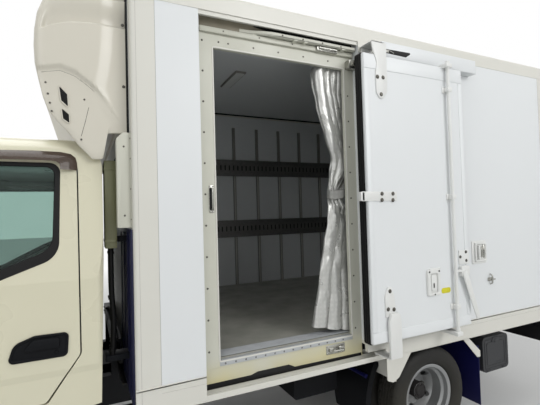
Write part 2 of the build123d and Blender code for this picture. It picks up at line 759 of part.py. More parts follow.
steer_radius = 195
steer_tilt = 35
steer_centre = Vector(front_x - 730, wheel_seat_y, 1330)
column_dir = Vector(cos(radians(steer_tilt)), 0, -sin(radians(steer_tilt)))
steer_plane = Plane(origin=steer_centre, x_dir=(0, 1, 0), z_dir=column_dir)
with BuildPart() as steering_wheel:
    with Locations(steer_plane):
        Torus(steer_radius, 14)
        Cylinder(48, 40)
        with PolarLocations(0, 3, start_angle=90):
            Box(steer_radius, 30, 12, align=(Align.MIN, Align.CENTER, Align.CENTER))
    rod(steer_centre, steer_centre + column_dir * 390, 24)
    add(dash_body, mode=Mode.SUBTRACT)
write(steering_wheel.part, "steering_wheel")

# Mirrors on stays from the cab's front corners
with BuildPart() as mirrors:
    for side in (1, -1):
        slab(front_x - 200, front_x - 130, side * 1120, side * 1300, 1290, 1660)
        slab(front_x - 190, front_x - 140, side * 1130, side * 1290, 1090, 1260)
    fillet(mirrors.edges().filter_by(Axis.X), 30)
    for side in (1, -1):
        rod((front_x - 165, side * 1180, 1080), (front_x - 165, side * 1180, 1670), 10)
        rod((front_x - 228, side * 1004, 1130), (front_x - 165, side * 1180, 1130), 10)
        rod((front_x - 370, side * 984, 1640), (front_x - 165, side * 1180, 1640), 10)
        slab(front_x - 250, front_x - 212, side * (cab_half + fit), side * (cab_half + 12), 1105, 1155)
        slab(front_x - 388, front_x - 352, side * 977, side * 990, 1620, 1660)
write(mirrors.part, "mirrors")

# Box floor, walls and roof: insulated panels between the corner posts
panel_front_x = box_front_x - post_length
panel_rear_x = box_rear_x + portal_depth
with BuildPart() as box_floor:
    slab(panel_rear_x, box_front_x - wall, -inner_half, inner_half, floor_bottom, floor_top - deck_rise)
    slab(panel_rear_x, box_front_x - wall, deck_edge - inner_half, inner_half - deck_edge,
         floor_top - deck_rise, floor_top)
write(box_floor.part, "box_floor")

with BuildPart() as box_front_wall:
    slab(box_front_x - wall, box_front_x, -inner_half, inner_half, floor_bottom, ceiling)
write(box_front_wall.part, "box_front_wall")

with BuildPart() as box_roof:
    slab(panel_rear_x, box_front_x, -inner_half, inner_half, ceiling, roof_top)
write(box_roof.part, "box_roof")

with BuildPart() as box_right_wall:
    slab(panel_rear_x, panel_front_x, -half_width, -inner_half, skirt_top, wall_top)
write(box_right_wall.part, "box_right_wall")

with BuildPart() as box_left_wall:
    slab(panel_rear_x, behind(surround_rear), inner_half, half_width, skirt_top, wall_top)
    slab(behind(surround_front), panel_front_x, inner_half, half_width, skirt_top, wall_top)
write(box_left_wall.part, "box_left_wall")

# Corner posts, roof rails and the rear portal with its hinge pins
edge_radius = 22
pin_x = box_rear_x - hinge_behind
pin_y = half_width + hinge_outside
pin_radius = 8
hinge_places = [1020, 1800, leaf_top - 166]
knuckle_half = 45
lug_height = 18
portal_top = leaf_top - 46

with BuildPart() as box_frame:
    for side in (1, -1):
        slab(panel_front_x, box_front_x, side * inner_half, side * half_width, skirt_top, wall_top)
        slab(panel_rear_x, box_front_x, side * inner_half, side * half_width, wall_top, roof_top)
        slab(box_rear_x, panel_rear_x, side * inner_half, side * half_width, floor_bottom, roof_top)
    slab(box_rear_x, panel_rear_x, -inner_half, inner_half, portal_top, roof_top)
    slab(box_rear_x, panel_rear_x, -inner_half, inner_half, floor_bottom - 34, floor_top)
    slab(box_rear_x - 5, box_rear_x + leaf_thickness + leaf_gap, -half_width + portal_side,
         half_width - portal_side, leaf_bottom - leaf_gap, leaf_top + leaf_gap, Mode.SUBTRACT)
    upright = box_frame.edges().filter_by(Axis.Z).group_by(Axis.X)[-1]
    outer_upright = upright.filter_by(lambda edge: abs(edge.center().Y) > half_width - 1)
    fillet(outer_upright, edge_radius)
    crest = box_frame.edges().filter_by(Axis.X).group_by(Axis.Z)[-1]
    fillet(crest.filter_by(lambda edge: abs(edge.center().Y) > half_width - 1), edge_radius)
    for side in (1, -1):
        for z in hinge_places:
            rod((pin_x, side * pin_y, z - knuckle_half - lug_height),
                (pin_x, side * pin_y, z + knuckle_half + lug_height), pin_radius)
            for z_low in (z - knuckle_half - lug_height, z + knuckle_half):
                slab(pin_x - 14, box_rear_x - 4, side * (half_width + 6), side * (pin_y + 14),
                     z_low, z_low + lug_height)
                slab(box_rear_x - 6, box_rear_x + 60, side * (half_width + 6), side * (pin_y + 14),
                     z_low, z_low + lug_height)
                slab(box_rear_x + 20, box_rear_x + 60, side * (half_width - 2),
                     side * (pin_y + 14), z_low, z_low + lug_height)
write(box_frame.part, "box_frame")

# Side skirts below the walls, and the panels ahead of the twin wheels
tab_rows = [(behind(1550), 726, 0), (behind(1761), 726, 0), (behind(1650), 585, 25),
            (behind(1600), 560, 20), (behind(1550), 580, 15)]
tabs = [prism_y(tab_rows, *sorted((side * (half_width - 6), side * half_width)))
        for side in (1, -1)]
with BuildPart() as side_skirts:
    for x_low, x_high, side in ((behind(surround_front), box_front_x, 1),
                                (box_rear_x, behind(low_rail_end), 1),
                                (box_rear_x, box_front_x, -1)):
        slab(x_low, x_high, side * (half_width - skirt_thickness), side * half_width, skirt_bottom,
             skirt_top if x_low > box_rear_x else floor_bottom - 34)
        if x_low == box_rear_x:
            slab(panel_rear_x, x_high, side * (half_width - skirt_thickness), side * half_width,
                 skirt_bottom, skirt_top)
        slab(max(x_low, panel_rear_x), min(x_high, box_front_x - 2), side * inner_half,
             side * (half_width - skirt_thickness), floor_bottom, skirt_top)
    slab(behind(low_rail_end), behind(surround_rear), half_width - skirt_thickness, half_width,
         low_rail_slot, skirt_top)
    slab(behind(low_rail_end), behind(surround_rear), inner_half, half_width - skirt_thickness,
         floor_bottom, skirt_top)
    for side in (1, -1):
        slab(behind(1626), behind(1620), side * 620, side * (half_width - 3), 560, skirt_bottom + 50)
        add(tabs[0 if side == 1 else 1])
        stay_in = half_width - skirt_thickness - 6
        stay_rows = [(flap_front_x + 205, 740, 4), (flap_front_x + 150, 740, 4),
                     (flap_front_x, 600, 4), (flap_front_x, 556, 4), (flap_front_x + 32, 556, 10)]
        add(prism_y(stay_rows, *sorted((side * stay_in, side * (stay_in + 6)))))
        slab(flap_front_x + fit, flap_front_x + 6, side * 1000, side * stay_in, 572, 600)
write(side_skirts.part, "side_skirts")

# Surround of the side doorway, sunk into the wall
frame_out = half_width - surround_recess
with BuildPart() as door_frame:
    slab(behind(surround_rear), behind(surround_front), inner_half, frame_out, skirt_top - 100,
         wall_top)
    slab(behind(opening_rear), behind(opening_front), inner_half - 5, frame_out + 5,
         opening_bottom, opening_top, Mode.SUBTRACT)
write(door_frame.part, "door_frame")

# Upper door rail in its slot, its cover behind the doorway, and the lower rail
cover_out = half_width + 66
plate = 6
with BuildPart() as door_rails:
    slab(behind(surround_rear), behind(surround_front), frame_out, frame_out + plate, surround_top,
         wall_top)
    slab(behind(surround_rear), behind(surround_front), frame_out, half_width - 4, wall_top - plate,
         wall_top)
    slab(behind(surround_rear), behind(surround_front), half_width - 10, half_width - 4,
         wall_top - 24, wall_top)
    slab(behind(rail_end), behind(1600), half_width, cover_out, door_top + 22, wall_top)
    slab(behind(rail_end - plate), behind(1600 - plate), half_width - 1, cover_out - plate,
         door_top + 20, wall_top - plate, Mode.SUBTRACT)
    slab(behind(1606), behind(surround_rear), half_width, half_width + plate, wall_top - 70, wall_top)
    slab(behind(low_rail_end), behind(surround_front), half_width - plate, half_width,
         skirt_bottom, skirt_top - 100)
    slab(behind(low_rail_end), behind(surround_front), frame_out - plate, half_width, skirt_bottom,
         skirt_bottom + plate)
    slab(behind(low_rail_end), behind(surround_front), frame_out - 2 * plate, frame_out - plate,
         skirt_bottom, skirt_top - 100)
write(door_rails.part, "door_rails")

# Side door, parked open along the wall, and its fittings
door_in = half_width + door_standoff
door_out = door_in + door_thickness
with BuildPart() as side_door:
    slab(behind(door_rear), behind(door_front), door_in, door_out, door_bottom, door_top)
    fillet(side_door.edges().filter_by(Axis.Y), 12)
    chamfer(side_door.faces().sort_by(Axis.Y)[-1].edges(), 4)
write(side_door.part, "side_door")

# Each row of the arms: distance behind the door's front edge, height from the door's top or
# bottom edge, and corner radius
arm_reach = 82              # top of the upper arm above the door
arm_plate = 8
upper_arm_rows = [(167, arm_reach, 4), (169, -125, 30), (158, -238, 25), (137, -278, 15),
                  (117, -278, 15), (100, -245, 25), (79, -27, 50), (66, arm_reach, 4)]
lower_arm_rows = [(155, 340, 14), (127, 340, 14), (103, 285, 20), (107, 155, 4), (190, 155, 4),
                  (177, 285, 30)]
foot_arm_rows = [(200, 177, 12), (133, 177, 12), (117, 125, 20), (119, -104, 4), (211, -104, 4),
                 (211, 125, 30)]


def arm(rows, height, thickness):
    points = [(behind(door_front + back), height + up, radius) for back, up, radius in rows]
    return prism_y(points, door_out, door_out + thickness)


lock_rod_x = behind(door_rear - 167)
rod_radius = 13
rod_out = door_out + 26
lever_rows = [(2121, 1249, 14), (2163, 1265, 14), (2285, 919, 14), (2251, 907, 14)]
lever = prism_y([(behind(back), z, radius) for back, z, radius in lever_rows], door_out + 24,
                door_out + 32)
with BuildPart() as side_door_fittings:
    add(arm(upper_arm_rows, door_top, arm_plate))
    add(arm(lower_arm_rows, door_bottom, arm_plate))
    add(arm(foot_arm_rows, door_bottom, 2 * arm_plate))
    slab(behind(door_front + 167), behind(door_front + 66), half_width + plate + fit,
         door_out + arm_plate, door_top + arm_reach - 8, door_top + arm_reach)
    slab(behind(door_front + 155), behind(door_front + 75), half_width + plate + fit,
         half_width + 18, door_top + 20, door_top + arm_reach)
    slab(behind(low_rail_end - 10), behind(door_front + 119), half_width - 20, door_out + arm_plate,
         door_bottom - 104, door_bottom - 96)
    slab(behind(door_front + 155), behind(door_front + 125), half_width - 20, half_width - 12,
         skirt_bottom + plate + fit, door_bottom - 96)
    slab(behind(door_front + 229), behind(door_front - 39), door_out, door_out + arm_plate, 1748, 1808)
    rod((lock_rod_x, rod_out, door_bottom - 13), (lock_rod_x, rod_out, door_top + 20), rod_radius)
    for z in (1023, 1769, door_top - 164):
        slab(lock_rod_x - 24, lock_rod_x + 24, door_out, rod_out + 14, z - 20, z + 20)
    for z in (door_bottom - 20, door_top - 10):
        slab(lock_rod_x - 28, lock_rod_x + 28, door_out, rod_out + 16, z, z + 30)
    slab(behind(2223), behind(2120), door_out, door_out + 8, 1300, 1396)
    slab(behind(2203), behind(2120), door_out, door_out + 26, 1219, 1290)
    slab(behind(2125), lock_rod_x, rod_out - 10, rod_out, 1245, 1275)
    add(lever)
    slab(behind(1928), behind(1806), door_out, door_out + 16, 1118, 1290)
    slab(behind(2563), behind(2405), half_width, half_width + 12, 1267, 1440)
    slab(behind(2640), behind(2572), half_width, half_width + 20, 1100, 1178)
write(side_door_fittings.part, "side_door_fittings")

# Rear doors, each with its hinge straps and two lock rods
leaf_edge = half_width - portal_side - leaf_gap
leaf_rod_y = [leaf_edge - 260, 120]
for side, name in ((1, "left"), (-1, "right")):
    with BuildPart() as rear_door:
        slab(box_rear_x, box_rear_x + leaf_thickness, side * leaf_gap / 2, side * leaf_edge,
             leaf_bottom, leaf_top)
        for z in hinge_places:
            slab(box_rear_x - strap_gap - 10, box_rear_x + 2, side * (leaf_edge - 190),
                 side * (leaf_edge - 10), z - 28, z + 28)
            slab(box_rear_x - strap_gap - 10, box_rear_x - strap_gap, side * (leaf_edge - 190),
                 side * pin_y, z - 28, z + 28)
            slab(pin_x, box_rear_x - strap_gap, side * (pin_y - 12), side * (pin_y + 4),
                 z - 28, z + 28)
            rod((pin_x, side * pin_y, z - knuckle_half + 6), (pin_x, side * pin_y, z + knuckle_half - 6),
                pin_radius + 8)
            rod((pin_x, side * pin_y, z - knuckle_half), (pin_x, side * pin_y, z + knuckle_half),
                pin_radius + fit, Mode.SUBTRACT)
    write(rear_door.part, "rear_door_" + name)
    with BuildPart() as rear_locks:
        for y in leaf_rod_y:
            rod((box_rear_x - 34, side * y, leaf_bottom + 10), (box_rear_x - 34, side * y, leaf_top - 10), 13)
            for z in (960, 1500, 2100, leaf_top - 96):
                slab(box_rear_x - 48, box_rear_x, side * (y - 24), side * (y + 24), z - 25, z + 25)
        slab(box_rear_x - 56, box_rear_x - 44, side * 105, side * 480, 1235, 1265)
        slab(box_rear_x - 48, box_rear_x, side * 440, side * 490, 1225, 1275)
    write(rear_locks.part, "rear_locks_" + name)

# Refrigeration unit on the box's front. Its side view ahead of the box, and its height
unit_half = 1000
unit_rows = [(0, 2116, 0), (100, 2116, 8), (124, 1985, 20), (170, 1985, 30), (270, 2072, 80),
             (345, 2170, 120), (392, 2310, 250), (414, 2470, 250), (417, 2590, 150),
             (385, 2720, 120), (300, 2830, 120), (160, 2890, 100), (0, 2890, 0)]
unit_side = prism_y([(box_front_x + out, z, radius) for out, z, radius in unit_rows], -unit_half, unit_half)
unit_plan = prism_z([(box_front_x, -unit_half, 0), (box_front_x + 425, -unit_half, 110),
                     (box_front_x + 425, unit_half, 110), (box_front_x, unit_half, 0)], 1900, 3000)
cheek = 45
under_rows = [(60, 1950, 0), (430, 1950, 0), (430, 2330, 0), (222, 2150, 40), (60, 2150, 0)]
unit_under = prism_y([(box_front_x + out, z, radius) for out, z, radius in under_rows],
                     -unit_half + cheek, unit_half - cheek)
with BuildPart() as refrigeration_unit:
    add(unit_side)
    add(unit_plan, mode=Mode.INTERSECT)
    add(unit_under, mode=Mode.SUBTRACT)
    for number in range(9):
        z = 2450 + number * 34
        slab(box_front_x + 370, box_front_x + 450, -620, 620, z, z + 16, Mode.SUBTRACT)
write(refrigeration_unit.part, "refrigeration_unit")

# Evaporator under the ceiling
with BuildPart() as evaporator:
    slab(behind(wall + 430), behind(wall), -620, 620, ceiling - 220, ceiling)
    chamfer(evaporator.edges().filter_by(Axis.Y).group_by(Axis.Z)[0].sort_by(Axis.X)[0], 90)
write(evaporator.part, "evaporator")

# Pipe cover, drain cover and hoses between the cab and the box
duct_x = box_front_x + 62
duct_bottom = 1535
with BuildPart() as pipe_covers:
    slab(box_front_x, box_front_x + 66, 985, 1055, 1640, 2110)
    chamfer(pipe_covers.edges().filter_by(Axis.Y).group_by(Axis.Z)[-1].sort_by(Axis.X)[-1], 30)
    slab(box_front_x, box_front_x + 8, 430, 1075, 760, 1630)
    slab(duct_x, duct_x + 56, 790, 935, duct_bottom, 1985)
    for z in (duct_bottom + 30, 1920):
        slab(box_front_x, duct_x, 850, 880, z, z + 30)
    for y in (835, 885):
        rod((duct_x + 28, y, 975), (duct_x + 28, y, duct_bottom), 13)
    slab(box_front_x, duct_x + 60, 815, 905, 955, 985)
write(pipe_covers.part, "pipe_covers")

# Inside the box: lashing rails and ribs along the walls, and the curtain's rail
lashing_places = [(1439, 1626), (2121, 2301)]
rib_first = 184
rib_pitch = 282
rib_count = 12
rib_half = 16
rib_top = ceiling - 155
curtain_rail = ceiling - 160
with BuildPart() as inner_rails:
    for side in (1, -1):
        far = side * inner_half
        x_high = panel_front_x + 30 if side == -1 else behind(surround_rear + 20)
        for z_low, z_high in lashing_places:
            slab(panel_rear_x + 10, x_high, far - side * 22, far, z_low, z_high)
        for number in range(rib_count):
            x = behind(rib_first + number * rib_pitch)
            if x < x_high - 30:
                slab(x - rib_half, x + rib_half, far - side * 14, far, floor_top - deck_rise, rib_top)
    rod((behind(1430), half_width - 130, curtain_rail), (behind(380), half_width - 130, curtain_rail), 10)
    for place in (390, 900, 1420):
        slab(behind(place + 10), behind(place - 10), half_width - 138, half_width - 122,
             curtain_rail - 10, ceiling)
write(inner_rails.part, "inner_rails")

# Curtain, gathered at the rear of the doorway and tied at its waist
curtain_top = curtain_rail - 10 - fit
curtain_rows = [(behind(1396), curtain_top, 0), (behind(1352), 1812, 60), (behind(1388), 930, 10),
                (behind(1080), 950, 10), (behind(1244), 1812, 60), (behind(1130), curtain_top, 0)]
curtain_body = prism_y(curtain_rows, half_width - 175, half_width - 86)
with BuildPart() as curtain:
    add(curtain_body)
write(curtain.part, "curtain")
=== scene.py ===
import math
import bpy
import bmesh
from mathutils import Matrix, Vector, noise


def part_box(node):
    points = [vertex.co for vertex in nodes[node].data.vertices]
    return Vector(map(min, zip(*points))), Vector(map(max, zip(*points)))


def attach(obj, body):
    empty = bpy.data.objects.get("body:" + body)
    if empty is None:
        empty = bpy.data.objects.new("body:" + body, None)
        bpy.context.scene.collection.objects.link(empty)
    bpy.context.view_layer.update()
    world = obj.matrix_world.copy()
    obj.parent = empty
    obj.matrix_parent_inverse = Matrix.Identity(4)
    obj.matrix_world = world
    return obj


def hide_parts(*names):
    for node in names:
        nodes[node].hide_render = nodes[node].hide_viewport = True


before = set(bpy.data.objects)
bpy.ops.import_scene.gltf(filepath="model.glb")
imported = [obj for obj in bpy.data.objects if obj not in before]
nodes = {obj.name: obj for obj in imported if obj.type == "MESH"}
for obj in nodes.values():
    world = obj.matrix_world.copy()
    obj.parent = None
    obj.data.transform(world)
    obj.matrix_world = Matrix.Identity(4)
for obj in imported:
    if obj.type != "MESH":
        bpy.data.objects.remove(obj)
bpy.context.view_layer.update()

# Where the main planes of the truck are, in metres: +X forward, +Y to its left, +Z up
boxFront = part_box("box_front_wall")[1].x
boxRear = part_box("side_skirts")[0].x
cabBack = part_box("cab_shell")[0].x
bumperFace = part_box("front_bumper")[1].x
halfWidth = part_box("box_right_wall")[0].y * -1
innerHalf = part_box("box_floor")[1].y
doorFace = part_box("side_door")[1].y
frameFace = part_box("door_frame")[1].y
axleHeight = (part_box("front_tyre_left")[0].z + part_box("front_tyre_left")[1].z) / 2
frontAxle = (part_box("front_tyre_left")[0].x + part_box("front_tyre_left")[1].x) / 2
rearAxle = (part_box("rear_tyres_left")[0].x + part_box("rear_tyres_left")[1].x) / 2


def behind(distance):
    return boxFront - distance


def ahead(distance):
    return cabBack + distance


# ---- camera: fitted to the photograph
print("camera")
cameraLook = {
    "place": (1.037, 3.066, 1.690),
    "yaw": 25.64,      # degrees that the view turns from straight across the truck
    "pitch": 1.634,
    "roll": -1.63,
    "lens": 25.72,     # mm on a 36 mm wide sensor
}


def makeCamera(look):
    yaw, pitch, roll = (math.radians(look[key]) for key in ("yaw", "pitch", "roll"))
    forward = Vector((-math.sin(yaw) * math.cos(pitch), -math.cos(yaw) * math.cos(pitch),
                      math.sin(pitch)))
    level = Vector((-math.cos(yaw), math.sin(yaw), 0))
    upright = Vector((math.sin(yaw) * math.sin(pitch), math.cos(yaw) * math.sin(pitch),
                      math.cos(pitch)))
    right = math.cos(roll) * level + math.sin(roll) * upright
    up = -math.sin(roll) * level + math.cos(roll) * upright
    data = bpy.data.cameras.new("photoCamera")
    data.lens = look["lens"]
    data.sensor_width = 36
    data.clip_start = 0.02
    camera = bpy.data.objects.new("photoCamera", data)
    bpy.context.scene.collection.objects.link(camera)
    camera.matrix_world = [
        (right.x, right.y, right.z, 0), (up.x, up.y, up.z, 0),
        (-forward.x, -forward.y, -forward.z, 0), (*look["place"], 1)]
    bpy.context.scene.camera = camera


makeCamera(cameraLook)


# ---- materials
print("materials")


def linear(hexColour):
    values = [int(hexColour[i:i + 2], 16) / 255 for i in (1, 3, 5)]
    return [v / 12.92 if v <= 0.04045 else ((v + 0.055) / 1.055) ** 2.4 for v in values] + [1.0]


def addNode(tree, kind, settings=None, links=None):
    node = tree.nodes.new(kind)
    for key, value in (settings or {}).items():
        if isinstance(key, int) or key in node.inputs:
            node.inputs[key].default_value = value
        else:
            setattr(node, key, value)
    for key, source in (links or {}).items():
        tree.links.new(source, node.inputs[key])
    return node


def startMaterial(name, settings):
    material = bpy.data.materials.new(name)
    material.use_nodes = True
    tree = material.node_tree
    tree.nodes.clear()
    shader = addNode(tree, "ShaderNodeBsdfPrincipled", settings)
    addNode(tree, "ShaderNodeOutputMaterial", None, {"Surface": shader.outputs["BSDF"]})
    place = addNode(tree, "ShaderNodeTexCoord").outputs["Object"]
    return material, tree, shader, place


def mixColours(tree, factor, first, second):
    mix = addNode(tree, "ShaderNodeMix", {"data_type": "RGBA"}, {0: factor})
    for index, colour in ((6, first), (7, second)):
        if isinstance(colour, str):
            mix.inputs[index].default_value = linear(colour)
        else:
            tree.links.new(colour, mix.inputs[index])
    return mix.outputs[2]


def rangeOf(tree, value, fromLow, fromHigh, toLow, toHigh):
    return addNode(tree, "ShaderNodeMapRange", {"From Min": fromLow, "From Max": fromHigh,
                                                "To Min": toLow, "To Max": toHigh},
                   {"Value": value}).outputs[0]


# A coat, moulding or cast surface: two close colours in soft patches, a fine relief, rounded
# edges, and dust that thickens towards the road. Sizes are in millimetres.
def coatedSurface(name, look):
    material, tree, shader, place = startMaterial(name, {
        "Metallic": look.get("metallic", 0.0), "IOR": look.get("ior", 1.5),
        "Coat Weight": look.get("coat", 0.0), "Coat Roughness": look.get("coatRoughness", 0.08),
        "Specular IOR Level": look.get("specular", 0.5)})
    patches = addNode(tree, "ShaderNodeTexNoise",
                      {"Scale": 1000 / look.get("patch", 350), "Detail": 3.0}, {"Vector": place})
    grain = addNode(tree, "ShaderNodeTexNoise",
                    {"Scale": 1000 / look.get("grain", 3), "Detail": 2.0}, {"Vector": place})
    spread = rangeOf(tree, patches.outputs[0], 0.2, 0.8, 0.0, 1.0)
    colour = mixColours(tree, spread, look["colour"], look["second"])
    if look.get("lining"):
        colour = mixColours(tree, insideCab(tree, place), colour, look["lining"])
    if look.get("dust"):
        height = addNode(tree, "ShaderNodeSeparateXYZ", None, {0: place}).outputs[2]
        low = rangeOf(tree, height, look.get("dustTop", 0.9), look.get("dustEnd", 0.1), 0.0,
                      look.get("dustMost", 0.5))
        speckled = addNode(tree, "ShaderNodeMath", {"operation": "MULTIPLY", "use_clamp": True},
                           {0: low, 1: rangeOf(tree, patches.outputs[0], 0.3, 0.7, 0.3, 1.3)})
        colour = mixColours(tree, speckled.outputs[0], colour, look["dust"])
    tree.links.new(colour, shader.inputs["Base Color"])
    smooth, rough = look["roughness"]
    tree.links.new(rangeOf(tree, patches.outputs[0], 0.3, 0.7, smooth, rough),
                   shader.inputs["Roughness"])
    rounded = addNode(tree, "ShaderNodeBevel", {"samples": 4, "Radius": look.get("edge", 2) / 1000})
    relief = addNode(tree, "ShaderNodeBump",
                     {"Strength": 1.0, "Distance": look.get("relief", 0.02) / 1000},
                     {"Height": grain.outputs[0], "Normal": rounded.outputs[0]})
    wave = addNode(tree, "ShaderNodeBump",
                   {"Strength": 1.0, "Distance": look.get("wave", 0.0) / 1000},
                   {"Height": patches.outputs[0], "Normal": relief.outputs[0]})
    tree.links.new(wave.outputs[0], shader.inputs["Normal"])
    return material


# 1 on the faces inside the cab, 0 outside: they lie more than half the wall's depth inside it
def insideCab(tree, place):
    axes = addNode(tree, "ShaderNodeSeparateXYZ", None, {0: place})
    across = addNode(tree, "ShaderNodeMath", {"operation": "ABSOLUTE"}, {0: axes.outputs[1]})
    lean = rangeOf(tree, axes.outputs[2], 1.4, 2.094, 0.967, 0.898)
    slope = rangeOf(tree, axes.outputs[2], 1.29, 2.13, bumperFace - 0.13, bumperFace - 0.456)
    reach = addNode(tree, "ShaderNodeMath", {"operation": "ADD"}, {0: lean, 1: slope}).outputs[0]
    diagonal = addNode(tree, "ShaderNodeMath", {"operation": "ADD"},
                       {0: axes.outputs[0], 1: across.outputs[0]}).outputs[0]
    roundCorner = addNode(tree, "ShaderNodeMath", {"operation": "SUBTRACT", 1: 0.082}, {0: reach})
    tests = [(across.outputs[0], lean, None), (axes.outputs[2], None, 2.058),
             (diagonal, roundCorner.outputs[0], None), (axes.outputs[0], slope, None),
             (cabBack + 0.032, axes.outputs[0], None), (0.9, axes.outputs[2], None)]
    result = None
    for low, high, limit in tests:
        test = addNode(tree, "ShaderNodeMath", {"operation": "LESS_THAN"})
        for index, value in ((0, low), (1, limit if high is None else high)):
            if isinstance(value, float):
                test.inputs[index].default_value = value
            else:
                tree.links.new(value, test.inputs[index])
        if result is None:
            result = test.outputs[0]
        else:
            result = addNode(tree, "ShaderNodeMath", {"operation": "MULTIPLY"},
                             {0: result, 1: test.outputs[0]}).outputs[0]
    return result


# Drawn, brushed or plated metal: fine lines along one axis and a cloudy roughness
def bareMetal(name, look):
    material, tree, shader, place = startMaterial(name, {"Metallic": 1.0})
    lined = addNode(tree, "ShaderNodeMapping", {"Scale": (0.04, 1, 1)}, {"Vector": place})
    lines = addNode(tree, "ShaderNodeTexNoise", {"Scale": 1000 / look.get("line", 2),
                                                 "Detail": 3.0}, {"Vector": lined.outputs[0]})
    clouds = addNode(tree, "ShaderNodeTexNoise", {"Scale": 1000 / look.get("cloud", 60),
                                                  "Detail": 4.0}, {"Vector": place})
    tree.links.new(mixColours(tree, clouds.outputs[0], look["colour"], look["second"]),
                   shader.inputs["Base Color"])
    smooth, rough = look["roughness"]
    tree.links.new(rangeOf(tree, clouds.outputs[0], 0.3, 0.7, smooth, rough),
                   shader.inputs["Roughness"])
    rounded = addNode(tree, "ShaderNodeBevel", {"samples": 4, "Radius": 0.001})
    relief = addNode(tree, "ShaderNodeBump", {"Strength": 1.0,
                                              "Distance": look.get("relief", 0.03) / 1000},
                     {"Height": lines.outputs[0], "Normal": rounded.outputs[0]})
    tree.links.new(relief.outputs[0], shader.inputs["Normal"])
    return material


# Woven cloth: two crossed sets of threads, drawn coarse enough to show
def wovenCloth(name, look):
    material, tree, shader, place = startMaterial(name, {
        "Metallic": look.get("metallic", 0.0), "Sheen Weight": look.get("sheen", 0.2),
        "IOR": 1.5})
    threads = []
    for direction in ("X", "Z"):
        wave = addNode(tree, "ShaderNodeTexWave",
                       {"bands_direction": direction, "Scale": 314 / look["thread"] / 10,
                        "Distortion": 0.6, "Detail": 1.0}, {"Vector": place})
        threads.append(wave.outputs["Fac"])
    weave = addNode(tree, "ShaderNodeMath", {"operation": "MULTIPLY"},
                    {0: threads[0], 1: threads[1]})
    patches = addNode(tree, "ShaderNodeTexNoise", {"Scale": 1000 / look.get("patch", 120),
                                                   "Detail": 4.0}, {"Vector": place})
    base = mixColours(tree, patches.outputs[0], look["colour"], look["second"])
    shaded = mixColours(tree, rangeOf(tree, weave.outputs[0], 0, 1, 0.35, 0.0), base, look["gap"])
    tree.links.new(shaded, shader.inputs["Base Color"])
    smooth, rough = look["roughness"]
    tree.links.new(rangeOf(tree, patches.outputs[0], 0.3, 0.7, smooth, rough),
                   shader.inputs["Roughness"])
    creases = addNode(tree, "ShaderNodeBump", {"Strength": 1.0,
                                               "Distance": look.get("crease", 0.0) / 1000},
                      {"Height": patches.outputs[0]})
    relief = addNode(tree, "ShaderNodeBump", {"Strength": 1.0,
                                              "Distance": look.get("relief", 0.1) / 1000},
                     {"Height": weave.outputs[0], "Normal": creases.outputs[0]})
    tree.links.new(relief.outputs[0], shader.inputs["Normal"])
    return material


# Clear or tinted panes and lenses
def clearPane(name, look):
    material, tree, shader, place = startMaterial(name, {
        "Transmission Weight": look["clear"], "IOR": look.get("ior", 1.2),
        "Specular IOR Level": 0.5})
    smear = addNode(tree, "ShaderNodeTexNoise", {"Scale": 1000 / 180, "Detail": 2.0},
                    {"Vector": place})
    tree.links.new(mixColours(tree, smear.outputs[0], look["colour"], look["second"]),
                   shader.inputs["Base Color"])
    smooth, rough = look["roughness"]
    tree.links.new(rangeOf(tree, smear.outputs[0], 0.3, 0.7, smooth, rough),
                   shader.inputs["Roughness"])
    if look.get("flute"):
        flutes = addNode(tree, "ShaderNodeTexWave",
                         {"bands_direction": look.get("fluteAlong", "Y"),
                          "Scale": 314 / look["flute"] / 10}, {"Vector": place})
        relief = addNode(tree, "ShaderNodeBump", {"Strength": 1.0, "Distance": 0.0006},
                         {"Height": flutes.outputs["Fac"]})
        tree.links.new(relief.outputs[0], shader.inputs["Normal"])
    return material


# Pearl cream cab enamel under clear lacquer: warm, glossy, slight orange peel
cabEnamel = coatedSurface("pearlCreamEnamel", {
    "colour": "#D2CEB6", "second": "#D1CEB6", "roughness": (0.27, 0.29), "coat": 0.5, "grain": 6,
    "relief": 0.03, "edge": 4, "lining": "#77756F"})
# Pre-painted skin of the insulated panels: cool white, satin, flat
panelSkin = coatedSurface("whiteSatinPanelSkin", {
    "colour": "#DADDDE", "second": "#D8DBDC", "roughness": (0.36, 0.46), "patch": 700, "grain": 8,
    "relief": 0.02, "edge": 3})
# Painted aluminium extrusions of the box: warmer and lighter than the skin
extrusionPaint = coatedSurface("whitePaintedExtrusion", {
    "colour": "#D3D2CA", "second": "#D0CFC7", "roughness": (0.3, 0.4), "edge": 2.5})
# Doorway surround: greige baked enamel, slightly dulled by handling
greigeEnamel = coatedSurface("greigeBakedEnamel", {
    "colour": "#C6C6BA", "second": "#BDBDB0", "roughness": (0.35, 0.5), "edge": 2,
    "dust": "#CBC397", "dustMost": 0.9, "dustTop": 0.93, "dustEnd": 0.80})
# Header of the doorway behind the door rail: the same enamel, darkened and browned as painted shade of
# the recess under the rail
shadedHeaderEnamel = coatedSurface("headerEnamelPaintedShade", {
    "colour": "#8C8676", "second": "#716B5C", "roughness": (0.4, 0.6), "patch": 160, "edge": 1})
# Frame paint: satin blue-black enamel with road dust low down
chassisEnamel = coatedSurface("blueBlackChassisEnamel", {
    "colour": "#0F1115", "second": "#15171C", "roughness": (0.4, 0.6), "grain": 4, "relief": 0.06,
    "dust": "#4A453D", "dustMost": 0.2, "specular": 0.15, "edge": 2})
# Cast iron and aluminium housings: rough as cast, dark, dusty
castHousing = coatedSurface("sandCastIron", {"colour": "#1E1D1F", "second": "#171618",
                                             "roughness": (0.55, 0.75), "metallic": 0.4, "grain": 5,
                                             "relief": 0.4, "dust": "#4A453D", "dustMost": 0.3,
                                             "edge": 3})
